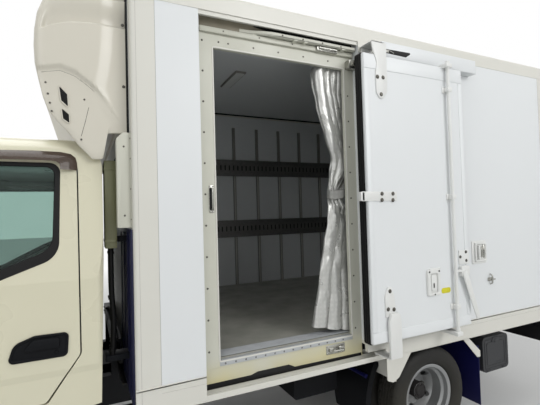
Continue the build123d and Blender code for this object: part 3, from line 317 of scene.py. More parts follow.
# Fuel tank: satin black over pressed steel
tankEnamel = coatedSurface("satinBlackTankEnamel", {
    "colour": "#141517", "second": "#1B1C1E", "roughness": (0.35, 0.5), "dust": "#4A453D",
    "dustMost": 0.2, "specular": 0.35, "edge": 4})
# Unpainted polypropylene mouldings: charcoal with a fine spark-eroded grain
charcoalMoulding = coatedSurface("charcoalPolypropylene",
                                 {"colour": "#111214", "second": "#16171A",
                                  "roughness": (0.5, 0.62), "grain": 2.5, "relief": 0.12,
                                  "specular": 0.1, "edge": 3})
# Storage boxes and step covers: the same moulding, greyed by weather
greyMoulding = coatedSurface("weatheredPolypropylene", {
    "colour": "#333436", "second": "#3C3D3F", "roughness": (0.5, 0.65), "grain": 3, "relief": 0.12,
    "specular": 0.3, "edge": 3})
# Silencer and pipes: aluminised steel, blued and browned by heat
aluminisedSteel = bareMetal("aluminisedExhaustSteel", {
    "colour": "#8B8378", "second": "#6C5F52", "roughness": (0.35, 0.6), "cloud": 90})
# Mudguards and flaps: navy blue vulcanised rubber sheet, dull
navyRubber = coatedSurface("navyRubberSheet", {
    "colour": "#0B0D45", "second": "#11134C", "roughness": (0.45, 0.6), "grain": 4, "relief": 0.1,
    "dust": "#55524C", "dustMost": 0.15, "dustTop": 0.5, "specular": 0.3})
# Navy enamelled steel guard on the box's front
navyEnamel = coatedSurface("navyEnamelledSteel", {
    "colour": "#101334", "second": "#14173A", "roughness": (0.35, 0.5), "specular": 0.3})
# Black rubber seals, gaskets and hoses
blackRubber = coatedSurface("blackRubberSeal", {
    "colour": "#0C0C0C", "second": "#121212", "roughness": (0.5, 0.65), "grain": 3, "relief": 0.05,
    "specular": 0.25})
# Box floor: grey resin-coated deck, scuffed by loads
greyDeck = coatedSurface("greyResinDeck", {
    "colour": "#A9A89F", "second": "#8F8F86", "roughness": (0.3, 0.5), "patch": 180, "grain": 12,
    "relief": 0.25, "edge": 2})
# Threshold plates: anodised aluminium, so dulled by feet that it looks pale grey
anodisedSill = coatedSurface("anodisedThreshold", {"colour": "#B4B7B9", "second": "#A6A9AB",
                                                   "roughness": (0.4, 0.55), "metallic": 0.3,
                                                   "patch": 90, "edge": 1})
# Lashing rails: galvanised pressed steel, dull and brownish in the shade
galvanisedRail = bareMetal("galvanisedLashingRail", {
    "colour": "#8B8A88", "second": "#787775", "roughness": (0.5, 0.65), "cloud": 30})
# Ribs on the lining: grey moulded plastic strips with a paler face
greyRib = coatedSurface("greyPvcRib", {
    "colour": "#8E8C87", "second": "#84827D", "roughness": (0.5, 0.6), "edge": 1})
paleRib = coatedSurface("palePvcRib", {
    "colour": "#B9B8B4", "second": "#AFAEAA", "roughness": (0.5, 0.6), "edge": 1})
# White powder coat on the steel arms, plates and rods of the doors
powderCoat = coatedSurface("whitePowderCoat", {
    "colour": "#DBDCDA", "second": "#D8D9D6", "roughness": (0.35, 0.45), "grain": 4, "relief": 0.05,
    "edge": 1.5})
# Zinc plated screws, latches and rods: bright, slightly cloudy
zincPlate = bareMetal("brightZincPlate", {
    "colour": "#B9B9B4", "second": "#96958D", "roughness": (0.22, 0.4), "cloud": 25})
# Screw heads, dulled by weather
dullScrew = bareMetal("weatheredSteelScrew", {
    "colour": "#6E6C66", "second": "#4F4D48", "roughness": (0.4, 0.6), "cloud": 12})
# Cooling unit's shell: cream gelcoat on glass fibre, glossy and very slightly wavy
creamGelcoat = coatedSurface("creamGelcoatShell", {
    "colour": "#CCC8BB", "second": "#CAC6B9", "roughness": (0.28, 0.38), "coat": 0.2, "patch": 500,
    "wave": 0.5, "grain": 9, "relief": 0.03, "edge": 3})
# Silver-grey coated cloth of the curtain: metallic sheen, soft creases
silverCloth = wovenCloth("silverCoatedCloth", {"colour": "#C9C9C5", "second": "#BCBDB9",
                                               "gap": "#A8A9A6", "thread": 3,
                                               "roughness": (0.25, 0.38), "metallic": 0.45,
                                               "sheen": 0.1, "crease": 2.5, "relief": 0.03,
                                               "patch": 80})
# Tie round the curtain: the same cloth, darker grey
darkerTieCloth = wovenCloth("darkerGreyTieCloth", {"colour": "#9B9B97", "second": "#8A8A86",
                                            "gap": "#757572", "thread": 3, "roughness": (0.4, 0.6),
                                            "relief": 0.05, "patch": 30})
# Seat cloth: woven charcoal polyester
seatCloth = wovenCloth("charcoalSeatCloth", {"colour": "#3A3B3E", "second": "#434448",
                                             "gap": "#222326", "thread": 4,
                                             "roughness": (0.75, 0.9), "sheen": 0.4, "relief": 0.3})
# Window glass: clear float glass with a faint green tint, darkened as painted shade of the dim cab
# seen through it
tintedShadedGlass = clearPane("greenGlassPaintedInteriorShade", {
    "colour": "#C4D8D2", "second": "#BCD1CA", "clear": 0.97, "roughness": (0.0, 0.02), "ior": 1.2})
# Window visor: smoked acrylic
smokedAcrylic = clearPane("smokedAcrylic", {
    "colour": "#6A5C53", "second": "#63564D", "clear": 0.5, "roughness": (0.08, 0.14), "ior": 1.3})
# Headlamp: clear polycarbonate over a bright fluted reflector
lampReflector = bareMetal("aluminisedReflector", {
    "colour": "#E3E4E6", "second": "#D2D4D8", "roughness": (0.08, 0.2), "cloud": 80})
clearLens = clearPane("clearPolycarbonate", {
    "colour": "#F2F4F5", "second": "#EEF1F3", "clear": 0.95, "roughness": (0.02, 0.05), "flute": 12,
    "ior": 1.2})
redLens = clearPane("redAcrylicLens", {
    "colour": "#8A100C", "second": "#780D0A", "clear": 0.2, "roughness": (0.1, 0.2), "flute": 9,
    "ior": 1.45})
amberLens = clearPane("amberAcrylicLens", {
    "colour": "#D9700E", "second": "#C8640A", "clear": 0.25, "roughness": (0.1, 0.2), "flute": 9,
    "ior": 1.45})
# Lamp diffuser inside the box: opal acrylic
opalAcrylic = coatedSurface("opalAcrylicDiffuser", {
    "colour": "#D8DAD8", "second": "#CFD1CF", "roughness": (0.3, 0.4)})
# Wheel discs: silver baked enamel, a little brake dust near the hub
silverEnamel = coatedSurface("silverBakedEnamel", {
    "colour": "#A0A2A3", "second": "#929495", "roughness": (0.3, 0.42), "metallic": 0.5, "grain": 3,
    "relief": 0.03, "dust": "#6E6A62", "dustMost": 0.35, "dustTop": 0.7, "edge": 2})
# Tyres: carbon-black rubber, greyed by dust
tyreRubber = coatedSurface("blackTyreRubber", {
    "colour": "#151515", "second": "#1B1B1A", "roughness": (0.6, 0.78), "grain": 4, "relief": 0.12,
    "dust": "#4C483A", "dustMost": 0.38, "dustTop": 0.75, "specular": 0.35, "edge": 1})
# Intake duct behind the cab: a cream duct whose olive-grey colour is painted shade, yellowed by a
# painted reflection of the cab
ductShadeEnamel = coatedSurface("creamDuctPaintedShade", {
    "colour": "#77785A", "second": "#6F7052", "roughness": (0.35, 0.45)})
# Mirror glass
silveredGlass = bareMetal("silveredGlass", {
    "colour": "#DFE3E4", "second": "#D8DCDE", "roughness": (0.01, 0.03)})
# Bare yellow vinyl label
yellowVinyl = coatedSurface("yellowVinyl", {
    "colour": "#D2CC22", "second": "#C8C21E", "roughness": (0.35, 0.4), "edge": 0.5})

finishedNodes = (
    (chassisEnamel, "chassis_frame front_axle rear_axle rear_bumper"),
    (castHousing, "engine_and_driveline knuckle_left knuckle_right"),
    (tankEnamel, "fuel_tank"), (greyMoulding, "tool_box"), (aluminisedSteel, "exhaust"),
    (charcoalMoulding, "battery_box front_panel dashboard steering_wheel mirrors"),
    (navyRubber, "mudguards"), (redLens, "tail_lamps"), (clearLens, "headlamps"),
    (cabEnamel, "front_bumper cab_shell cab_door_left cab_door_right"),
    (tintedShadedGlass, "cab_glass door_glass_left door_glass_right"),
    (seatCloth, "seats"), (greyDeck, "box_floor"), (galvanisedRail, "inner_rails"),
    (panelSkin, "box_front_wall box_roof box_right_wall box_left_wall side_door evaporator "
                "rear_door_left rear_door_right"),
    (extrusionPaint, "box_frame side_skirts door_rails pipe_covers"),
    (greigeEnamel, "door_frame"), (powderCoat, "side_door_fittings"),
    (creamGelcoat, "refrigeration_unit"), (silverCloth, "curtain"),
    (zincPlate, "rear_locks_left rear_locks_right"),
    (silverEnamel, "front_rim_left front_rim_right rear_rims_left rear_rims_right"),
    (tyreRubber, "front_tyre_left front_tyre_right rear_tyres_left rear_tyres_right"),
)
for finish, names in finishedNodes:
    for name in names.split():
        for place in nodes[name].material_slots:
            place.material = finish

# The slot that a piece in each finish fills, where its call names no other
usualSlots = {
    "lock_steel": (zincPlate, dullScrew, silveredGlass),
    "dark_plastic": (blackRubber, charcoalMoulding, greyMoulding),
    "fitting_paint": (powderCoat, yellowVinyl),
    "trim_white": (extrusionPaint, panelSkin, ductShadeEnamel),
    "lashing_metal": (galvanisedRail, greyRib, paleRib),
    "lamp_clear": (clearLens, opalAcrylic, lampReflector),
    "lamp_red": (redLens, amberLens), "curtain_vinyl": (silverCloth, darkerTieCloth),
    "chassis_paint": (chassisEnamel, navyEnamel), "frame_paint": (greigeEnamel, shadedHeaderEnamel),
    "rail_metal": (anodisedSill,), "cast_metal": (castHousing,), "seat_cloth": (seatCloth,),
    "unit_shell": (creamGelcoat,), "window_glass": (smokedAcrylic,),
    "tyre_rubber": (tyreRubber,),
}
slotOf = {finish.name: slot for slot, group in usualSlots.items() for finish in group}


# ---- shapes: each returns points and faces, and makePiece joins them into one object
def roundOff(rows, steps=6):
    loop = []
    for i, (a, b, radius) in enumerate(rows):
        corner = Vector((a, b))
        if not radius:
            loop.append(corner)
            continue
        before = (Vector(rows[i - 1][:2]) - corner).normalized()
        after = (Vector(rows[(i + 1) % len(rows)][:2]) - corner).normalized()
        half = before.angle(after) / 2
        centre = corner + (before + after).normalized() * (radius / math.sin(half))
        start = corner + before * (radius / math.tan(half)) - centre
        end = corner + after * (radius / math.tan(half)) - centre
        for k in range(steps + 1):
            loop.append(centre + start.lerp(end, k / steps).normalized() * radius)
    return loop


def rounded(lowA, lowB, highA, highB, radius, steps=6):
    return roundOff([(lowA, lowB, radius), (highA, lowB, radius), (highA, highB, radius),
                     (lowA, highB, radius)], steps)


def inset(loop, distance):
    if not distance:
        return loop
    area = sum(a.x * b.y - b.x * a.y for a, b in zip(loop, loop[1:] + loop[:1]))
    turn = distance if area > 0 else -distance
    moved = []
    for i, point in enumerate(loop):
        along = (loop[(i + 1) % len(loop)] - loop[i - 1]).normalized()
        before = (point - loop[i - 1]).normalized()
        lift = max(0.5, abs(along.dot(before)))
        moved.append(point + Vector((-along.y, along.x)) * turn / lift)
    return moved


def skin(loops, capStart=True, capEnd=True, closed=True):
    count = len(loops[0])
    points = [point for loop in loops for point in loop]
    faces = []
    for row in range(len(loops) - 1):
        for i in range(count if closed else count - 1):
            j = (i + 1) % count
            faces.append((row * count + i, row * count + j, (row + 1) * count + j,
                          (row + 1) * count + i))
    if capStart:
        faces.append(tuple(range(count)))
    if capEnd:
        faces.append(tuple(range((len(loops) - 1) * count, len(loops) * count)))
    return points, faces


def onSide(y, side=1):
    return lambda a, b, depth: Vector((a, side * (y + depth), b))


def onFront(x, facing=1):
    return lambda a, b, depth: Vector((x + facing * depth, a, b))


def onTop(z, facing=1):
    return lambda a, b, depth: Vector((a, b, z + facing * depth))


def plate(outline, place, thickness, edge=0.002, back=0.0):
    layers = [(0, -back), (0, thickness - edge), (edge * 0.3, thickness - edge * 0.3),
              (edge, thickness)]
    return skin([[place(p.x, p.y, depth) for p in inset(outline, shrink)]
                 for shrink, depth in layers])


def box(low, high, edge=0.002):
    outline = rounded(low[0], low[1], high[0], high[1], edge, 2)
    layers = [(edge, low[2]), (edge * 0.3, low[2] + edge * 0.3), (0, low[2] + edge),
              (0, high[2] - edge), (edge * 0.3, high[2] - edge * 0.3), (edge, high[2])]
    return skin([[Vector((p.x, p.y, z)) for p in inset(outline, shrink)] for shrink, z in layers])


def ring(outer, inner, place, thickness, edge=0.002):
    loops = [[place(p.x, p.y, 0) for p in outer]]
    loops.append([place(p.x, p.y, thickness - edge) for p in outer])
    loops.append([place(p.x, p.y, thickness) for p in inset(outer, edge)])
    loops.append([place(p.x, p.y, thickness) for p in inset(inner, -edge)])
    loops.append([place(p.x, p.y, thickness - edge) for p in inner])
    loops.append([place(p.x, p.y, 0) for p in inner])
    points, faces = skin(loops, False, False)
    count = len(outer)
    last = 5 * count
    for i in range(count):
        j = (i + 1) % count
        faces.append((i, j, last + j, last + i))
    return points, faces


def circle(a, b, radius, sides=20, start=0.0):
    return [Vector((a + radius * math.cos(start + i * math.tau / sides),
                    b + radius * math.sin(start + i * math.tau / sides))) for i in range(sides)]


def screw(place, a, b, radius=0.007, height=0.003, sides=14):
    rows = [(1, -0.001), (1, height * 0.45), (0.85, height * 0.8), (0.5, height), (0.32, height),
            (0.3, height * 0.55)]
    return skin([[place(p.x, p.y, depth) for p in circle(a, b, radius * share, sides)]
                 for share, depth in rows])


def bolt(place, a, b, radius=0.009, height=0.006):
    washer = skin([[place(p.x, p.y, depth) for p in circle(a, b, radius * share, 18)]
                   for share, depth in ((1.35, -0.001), (1.35, 0.0012), (1.25, 0.0018))])
    head = skin([[place(p.x, p.y, depth) for p in circle(a, b, radius * share, 6, 0.3)]
                 for share, depth in ((1, 0.001), (1, height * 0.85), (0.86, height))])
    return washer, head


def tube(path, radius, sides=12, capStart=True, capEnd=True):
    path = [Vector(p) for p in path]
    loops = []
    side = None
    for i, point in enumerate(path):
        along = (path[min(i + 1, len(path) - 1)] - path[max(i - 1, 0)]).normalized()
        if side is None:
            side = along.orthogonal().normalized()
        side = (side - along * side.dot(along)).normalized()
        other = along.cross(side)
        width = radius[i] if isinstance(radius, (list, tuple)) else radius
        loops.append([point + (side * math.cos(t) + other * math.sin(t)) * width
                      for t in (math.tau * k / sides for k in range(sides))])
    return skin(loops, capStart, capEnd)


def bend(path, radius, steps=6):
    path = [Vector(p) for p in path]
    smooth = [path[0]]
    for before, corner, after in zip(path, path[1:], path[2:]):
        inward = (before - corner).normalized()
        outward = (after - corner).normalized()
        reach = min(radius, (before - corner).length / 2, (after - corner).length / 2)
        start, end = corner + inward * reach, corner + outward * reach
        for k in range(steps + 1):
            t = k / steps
            smooth.append((1 - t) ** 2 * start + 2 * t * (1 - t) * corner + t * t * end)
    smooth.append(path[-1])
    return smooth


def makePiece(name, shapes, finish, body="chassis", slot=None, sharp=35, weld=0.0):
    slot = slot or slotOf[finish.name]
    points, faces = [], []
    for shapePoints, shapeFaces in shapes:
        start = len(points)
        points += [tuple(p) for p in shapePoints]
        faces += [tuple(start + i for i in face) for face in shapeFaces]
    mesh = bpy.data.meshes.new(name)
    mesh.from_pydata(points, [], faces)
    work = bmesh.new()
    work.from_mesh(mesh)
    if weld:
        bmesh.ops.remove_doubles(work, verts=work.verts, dist=weld)
    bmesh.ops.recalc_face_normals(work, faces=work.faces)
    work.to_mesh(mesh)
    work.free()
    mesh.shade_smooth()
    mesh.set_sharp_from_angle(angle=math.radians(sharp))
    mesh.materials.append(finish)
    piece = bpy.data.objects.new(name, mesh)
    bpy.context.scene.collection.objects.link(piece)
    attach(piece, body)
    return piece


def along(rows, value):
    rows = sorted(rows)
    if value <= rows[0][0]:
        return rows[0][1]
    for (a, b), (c, d) in zip(rows, rows[1:]):
        if value <= c:
            return b + (d - b) * (value - a) / (c - a)
    return rows[-1][1]


def ease(low, high, value):
    t = min(1.0, max(0.0, (value - low) / (high - low)))
    return t * t * (3 - 2 * t)


# ---- cooling unit: one moulded shell, stepped along two lips and sunk below a ridge
print("cooling unit")
coolingUnit = {
    "half": 1.0,
    "corner": (0.035, 0.05),    # how round the front corners are, low down and high up
    "strip": (0.060, 0.025),    # the smooth strip along the front edge, where the steps die out
    "profile": [(0.0, 2.116, 0), (0.1, 2.116, 0.008), (0.124, 1.983, 0.015), (0.172, 1.983, 0.02),
                (0.231, 2.046, 0.05), (0.272, 2.104, 0.05), (0.329, 2.168, 0.05), (0.363, 2.216, 0.05),
                (0.382, 2.275, 0.1), (0.400, 2.36, 0.1), (0.414, 2.433, 0.1), (0.418, 2.516, 0.2),
                (0.415, 2.596, 0.2), (0.403, 2.679, 0.1), (0.382, 2.736, 0.06), (0.345, 2.80, 0.06),
                (0.28, 2.85, 0.08), (0.16, 2.887, 0.1), (0.0, 2.89, 0)],
    "upperLip": [(0.0, 2.802), (0.136, 2.790), (0.266, 2.770), (0.34, 2.742), (0.391, 2.708)],
    "middleLip": [(0.0, 2.662), (0.173, 2.655), (0.263, 2.645), (0.341, 2.618), (0.392, 2.584)],
    "ridge": [(0.0, 2.13), (0.067, 2.225), (0.132, 2.318), (0.177, 2.362), (0.244, 2.412),
              (0.309, 2.432), (0.385, 2.414)],
    "flange": [(2.1, 0.03), (2.183, 0.043), (2.241, 0.08), (2.338, 0.112), (2.452, 0.09),
               (2.535, 0.08), (2.628, 0.074), (2.9, 0.07)],
    "lipDepth": 0.022,
    "ridgeDepth": 0.016,
    "flangeDepth": 0.012,
    "underside": [(0.06, 2.15), (0.222, 2.15), (0.43, 2.33)],
    "cheek": 0.045,
    "grilleHalf": 0.64,
    "grille": (2.47, 2.70),
}


def shellDepth(look, out, z, kept):
    depth = 0.0             # how far the side lies in from the full width
    for lip in ("upperLip", "middleLip"):
        above = z - along(look[lip], out)
        if above > 0:
            depth += look["lipDepth"] * ease(0, 0.010, above) * (1 - ease(0.012, 0.13, above))
    below = along(look["ridge"], out) - z
    valley = along(look["flange"], z)
    flange = 1 - ease(valley - 0.015, valley + 0.06, out)
    depth *= kept
    depth += look["ridgeDepth"] * ease(-0.004, 0.02, below) * (1 - flange)
    depth += look["flangeDepth"] * flange
    return depth


def coolingShell(look):
    outline = roundOff(look["profile"], 14)
    fine = []
    for a, b in zip(outline, outline[1:]):
        steps = max(1, math.ceil((b - a).length / 0.005))
        fine += [a.lerp(b, k / steps) for k in range(steps)]
    fine.append(outline[-1])
    low, high = look["profile"][0][1], look["profile"][-1][1]
    notch = next(i for i, p in enumerate(fine) if p.x > look["profile"][1][0] - 0.001)
    turnUp = low + 0.57       # from here the lines to the low tip pass clear of the notch
    pairs = [(Vector((0, low + 0.02 * i / notch)), fine[i]) for i in range(notch)]
    pairs += [(Vector((0, low + 0.02 + (turnUp - low - 0.02) * k / 24)), fine[notch])
              for k in range(24)]
    rest = fine[notch:]
    pairs += [(Vector((0, turnUp + (high - turnUp) * k / (len(rest) - 1))), p)
              for k, p in enumerate(rest)]
    loops = []
    for root, rim in pairs:
        reach = (rim - root).length
        corner = look["corner"][0] + (look["corner"][1] - look["corner"][0]) * ease(2.3, 2.52,
                rim.y)
        bendIn, bendAcross = min(corner * 1.2, reach * 0.85), min(corner * 0.7, reach * 0.85)
        toRim = (rim - root).normalized() if reach > 1e-6 else Vector((1, 0))
        half = [((reach - bendIn) * k / 70, look["half"], 0.0) for k in range(71)]
        for k in range(1, 15):
            turn = math.pi / 2 * k / 14
            half.append((reach - bendIn + bendIn * math.sin(turn),
                         look["half"] - bendAcross + bendAcross * math.cos(turn), turn))
        width = look["half"] - bendAcross
        half += [(reach, width * (1 - k / 30), math.pi / 2) for k in range(1, 31)]
        loop = []
        for side in (1, -1):
            part = []
            for distance, y, turn in half if side == 1 else half[:-1]:
                spot = root + toRim * distance
                kept = 1 - ease(reach - look["strip"][0], reach - look["strip"][1], distance)
                depth = shellDepth(look, spot.x, spot.y, kept)
                middle = 1 - ease(look["grilleHalf"] - 0.01, look["grilleHalf"] + 0.01, y)
                sunk = ease(look["grille"][0] - 0.008, look["grille"][0] + 0.008, spot.y) \
                    * (1 - ease(look["grille"][1] - 0.008, look["grille"][1] + 0.008, spot.y))
                out = spot.x - 0.03 * middle * sunk * math.sin(turn)
                z = spot.y
                across = y - depth * math.cos(turn)
                if across < look["half"] - look["cheek"] and out > 0.06:
                    z = max(z, along(look["underside"], out))
                part.append(Vector((boxFront + max(out, 0.0), side * across, z)))
            loop += part if side == 1 else part[::-1]
        loops.append(loop)
    return skin(loops, False, False, closed=False)


shell = makePiece("coolingUnitShell", [coolingShell(coolingUnit)], creamGelcoat, sharp=40,
                  weld=1e-5)
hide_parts("refrigeration_unit")

grilleLow, grilleHigh = coolingUnit["grille"]
slats = []
for number in range(7):
    z = grilleLow + 0.018 + number * 0.032
    front = boxFront + along([(2.45, 0.41), (2.5, 0.417), (2.61, 0.417), (2.72, 0.385)], z)
    outline = roundOff([(front - 0.034, z + 0.014, 0.003), (front - 0.002, z - 0.004, 0.003),
                        (front - 0.002, z - 0.010, 0.003), (front - 0.034, z + 0.006, 0.003)], 2)
    slats.append(skin([[Vector((p.x, y, p.y)) for p in outline]
                       for y in (-coolingUnit["grilleHalf"], coolingUnit["grilleHalf"])]))
for y in (-0.32, 0, 0.32):
    slats.append(box((boxFront + 0.375, y - 0.008, grilleLow),
                     (boxFront + 0.382, y + 0.008, grilleHigh)))
makePiece("coolingUnitGrille", slats, charcoalMoulding)

# On the unit's cheeks: distances ahead of the box's face, and heights
cheekLook = {
    "windows": (((0.312, 2.328), (0.279, 2.292), (0.276, 2.233), (0.304, 2.260)),
                ((0.302, 2.221), (0.273, 2.195), (0.271, 2.154), (0.297, 2.173))),
    "bars": 4,
    "screws": ((0.369, 2.341), (0.360, 2.288), (0.352, 2.245), (0.345, 2.206), (0.204, 2.275),
               (0.220, 2.077)),
    "flangeScrews": ((0.023, 2.677), (0.022, 2.358)),
    "seam": ((0.185, 2.238), (0.2, 2.17), (0.22, 2.093)),
    "ridgeSeam": (0.385, 0.33, 0.309, 0.28, 0.244, 0.21, 0.177, 0.155, 0.132, 0.11, 0.09),
    "belowRidge": 0.026,
}
windowShapes, frameShapes, screwShapes = [], [], []
for side in (1, -1):
    face = onSide(coolingUnit["half"] - coolingUnit["ridgeDepth"], side)
    flangeFace = onSide(coolingUnit["half"] - coolingUnit["flangeDepth"], side)
    for corners in cheekLook["windows"]:
        outline = roundOff([(boxFront + a, b, 0.002) for a, b in corners], 2)
        windowShapes.append(plate(outline, face, 0.0012, 0.0004))
        frameShapes.append(ring(inset(outline, -0.006), outline, face, 0.005, 0.0015))
        for k in range(1, cheekLook["bars"] + 1):
            share = k / (cheekLook["bars"] + 1)
            low = Vector(corners[3]).lerp(Vector(corners[0]), share)
            high = Vector(corners[2]).lerp(Vector(corners[1]), share)
            windowShapes.append(tube([face(boxFront + low.x, low.y, 0.002),
                                      face(boxFront + high.x, high.y, 0.002)], 0.0013, 6))
    for a, b in cheekLook["screws"]:
        screwShapes.append(screw(face, boxFront + a, b, 0.0048))
    for a, b in cheekLook["flangeScrews"]:
        screwShapes.append(screw(flangeFace, boxFront + a, b, 0.008, 0.004))
    seam = [face(boxFront + a, b, -0.001) for a, b in cheekLook["seam"]]
    windowShapes.append(tube(seam, 0.0015, 6))
    ridgeSeam = [face(boxFront + out, along(coolingUnit["ridge"], out) - cheekLook["belowRidge"],
                      -0.0006) for out in cheekLook["ridgeSeam"]]
    windowShapes.append(tube(bend(ridgeSeam, 0.02, 3), 0.0009, 6))
windowShapes.append(box((boxFront, -0.9915, 2.113), (boxFront + 0.011, 0.9915, 2.8935), 0.001))
makePiece("unitVentMesh", windowShapes, blackRubber)
makePiece("unitVentFrames", frameShapes, creamGelcoat)
makePiece("unitScrews", screwShapes, dullScrew)


# ---- between cab and box: pipe cover, intake duct, hoses and navy guard
print("pipe covers")
pipeLook = {
    "cover": (0.985, 1.055, 1.640, 2.110, 0.066),       # inner side, outer side, bottom, top, depth
    "coverScrews": (1.68, 1.83, 1.98, 2.08), "sideScrews": (1.70, 2.04),
    "duct": (0.790, 0.935, 1.535, 1.985), "ductReach": (0.062, 0.118),
    "pipes": (0.835, 0.885), "cuffs": (1.28, 1.02),
    "hoses": (((0.874, 0.62, 0.962), (0.868, 0.72, 0.86), (0.862, 0.845, 0.978)),
              ((0.884, 0.30, 0.962), (0.874, 0.42, 0.985), (0.874, 0.56, 0.962)),
              ((0.89, -0.35, 0.962), (0.874, -0.18, 1.01), (0.874, 0.08, 0.962)),
              ((0.874, 0.52, 0.90), (0.868, 0.66, 0.84), (0.850, 0.76, 0.77))),
    "guard": (0.430, 1.075, 0.760, 1.630), "guardRibs": (0.50, 0.68, 0.86, 1.03),
    "supportBolts": (-0.50, -0.40, 0.40, 0.50),
}
inner, outer, bottom, top, deep = pipeLook["cover"]
coverSide = roundOff([(boxFront, bottom, 0), (boxFront + deep, bottom, 0.004),
                      (boxFront + deep, top - 0.03, 0.006), (boxFront + deep - 0.03, top, 0.006),
                      (boxFront, top, 0)], 3)
coverEdge = box((boxFront, inner - 0.012, bottom), (boxFront + 0.003, outer + 0.016, top), 0.001)
cover = makePiece("pipeCover", [plate(coverSide, onSide(inner), outer - inner, 0.003), coverEdge],
                  greigeEnamel, slot="trim_white")
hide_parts("pipe_covers")
coverScrews = [screw(onFront(boxFront + 0.003), outer + 0.009, z, 0.004)
               for z in pipeLook["coverScrews"]]
coverScrews += [screw(onSide(outer), boxFront + deep / 2, z, 0.005) for z in pipeLook["sideScrews"]]
makePiece("pipeCoverScrews", coverScrews, dullScrew)
inner, outer, bottom, top = pipeLook["duct"]
near, far = pipeLook["ductReach"]
duct = [
    box((boxFront + near, inner, bottom), (boxFront + far, outer, top), 0.003),
    box((boxFront + near + 0.003, inner + 0.003, top - 0.05),
        (boxFront + far + 0.002, outer + 0.002, top - 0.04), 0.002),
    box((boxFront + near + 0.003, inner + 0.003, bottom + 0.03),
        (boxFront + far + 0.002, outer + 0.002, bottom + 0.045), 0.002),
]
# The duct's olive-grey is painted shade and a painted reflection of the cab
makePiece("intakeDuct", duct, ductShadeEnamel)
brackets = [box((boxFront, 0.850, z), (boxFront + near, 0.880, z + 0.03), 0.002)
            for z in (bottom + 0.03, 1.920)]
brackets.append(box((boxFront, 0.815, 0.955), (boxFront + near + 0.06, 0.905, 0.985), 0.003))
hoses = []
middle = boxFront + (near + far) / 2
for y in pipeLook["pipes"]:
    path = [(middle, y, bottom + 0.004), (middle, y, 1.30), (middle - 0.012, y + 0.012, 1.14),
            (middle, y, 0.975)]
    hoses.append(tube(bend(path, 0.08), 0.013, 14))
    for z in (bottom - 0.02, *pipeLook["cuffs"]):
        hoses.append(tube([(middle, y, z), (middle, y, z - 0.012)], 0.0155, 16))
hoses += [tube(bend(path, 0.2, 10), 0.011, 12) for path in pipeLook["hoses"]]
makePiece("coolingHoses", hoses, blackRubber)
inner, outer, bottom, top = pipeLook["guard"]
guard = [box((boxFront, inner, bottom), (boxFront + 0.008, outer, top), 0.002)]
guard += [box((boxFront + 0.007, y, bottom + 0.02), (boxFront + 0.011, y + 0.03, top - 0.02), 0.002)
          for y in pipeLook["guardRibs"]]
makePiece("boxFrontGuard", guard, navyEnamel)
makePiece("ductBrackets", brackets, chassisEnamel)
onSupport = onFront(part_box("box_front_wall")[1].x + 0.072)
supportBolts = []
for y in pipeLook["supportBolts"]:
    for z in (0.915, 0.945):
        supportBolts += bolt(onSupport, y, z, 0.008)
makePiece("supportBolts", supportBolts, zincPlate)


# ---- tyres: ribbed tread with cross sipes, and sidewalls with a bead rib
print("tyres")
tyreLook = {
    "section": [(0.0635, 0.2046), (0.0692, 0.221), (0.080, 0.223), (0.090, 0.237), (0.098, 0.252),
                (0.1015, 0.268), (0.1025, 0.282), (0.1010, 0.298), (0.098, 0.312), (0.092, 0.325),
                (0.086, 0.334), (0.079, 0.3395), (0.072, 0.343)],
    "treadHalf": 0.072,
    "crown": 0.347,
    "grooves": [-0.042, -0.014, 0.014, 0.042],
    "grooveHalf": 0.0042,
    "grooveDepth": 0.009,
    "turns": 216,
    "pitch": 6,             # segments from one cross cut to the next
}


def tyreShape(look, xAxle, yMiddle):
    half = look["section"]
    tread = [(look["treadHalf"] - 2 * look["treadHalf"] * k / 48) for k in range(1, 48)]
    section = [(out, radius, False) for out, radius in half]
    section += [(out, look["crown"] - 0.004 * (out / look["treadHalf"]) ** 4, True)
                for out in tread]
    section += [(-out, radius, False) for out, radius in reversed(half)]
    loops = []
    for turn in range(look["turns"]):
        angle = math.tau * turn / look["turns"]
        loop = []
        for out, radius, onTread in section:
            cut = 0.0
            if onTread:
                for k, groove in enumerate(look["grooves"]):
                    wander = 0.0035 * math.sin(turn * math.tau / look["pitch"] / 2 + k)
                    if abs(out - groove - wander) < look["grooveHalf"]:
                        cut = look["grooveDepth"]
                shoulder = abs(out) > 0.046
                if turn % look["pitch"] == 0 and (shoulder or 0.018 < abs(out) < 0.038):
                    cut = max(cut, look["grooveDepth"] * (0.8 if shoulder else 0.45))
                if (turn + 3) % look["pitch"] == 0 and abs(out) < 0.010:
                    cut = max(cut, look["grooveDepth"] * 0.4)
            elif 0.325 < radius < 0.342 and turn % look["pitch"] < 2:
                cut = 0.003
            elif abs(radius - 0.252) < 0.001:
                cut = -0.0015
            r = radius - cut
            loop.append(Vector((xAxle + r * math.sin(angle), yMiddle + out,
                                axleHeight + r * math.cos(angle))))
        loops.append(loop)
    count = len(section)
    points = [p for loop in loops for p in loop]
    faces = []
    for row in range(look["turns"]):
        after = (row + 1) % look["turns"]
        for i in range(count):
            j = (i + 1) % count
            faces.append((row * count + i, row * count + j, after * count + j, after * count + i))
    return points, faces


for side, name in ((1, "left"), (-1, "right")):
    low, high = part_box("front_tyre_" + name)
    tyre = makePiece("frontTyreTread_" + name, [tyreShape(tyreLook, frontAxle,
                                                          (low.y + high.y) / 2)], tyreRubber,
                     name + "_front_wheel", sharp=50)
    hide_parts("front_tyre_" + name)
    low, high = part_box("rear_tyres_" + name)
    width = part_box("front_tyre_" + name)[1].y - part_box("front_tyre_" + name)[0].y
    pair = [tyreShape(tyreLook, rearAxle, y) for y in (low.y + width / 2, high.y - width / 2)]
    twins = makePiece("rearTyreTreads_" + name, pair, tyreRubber, name + "_rear_wheels", sharp=50)
    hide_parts("rear_tyres_" + name)


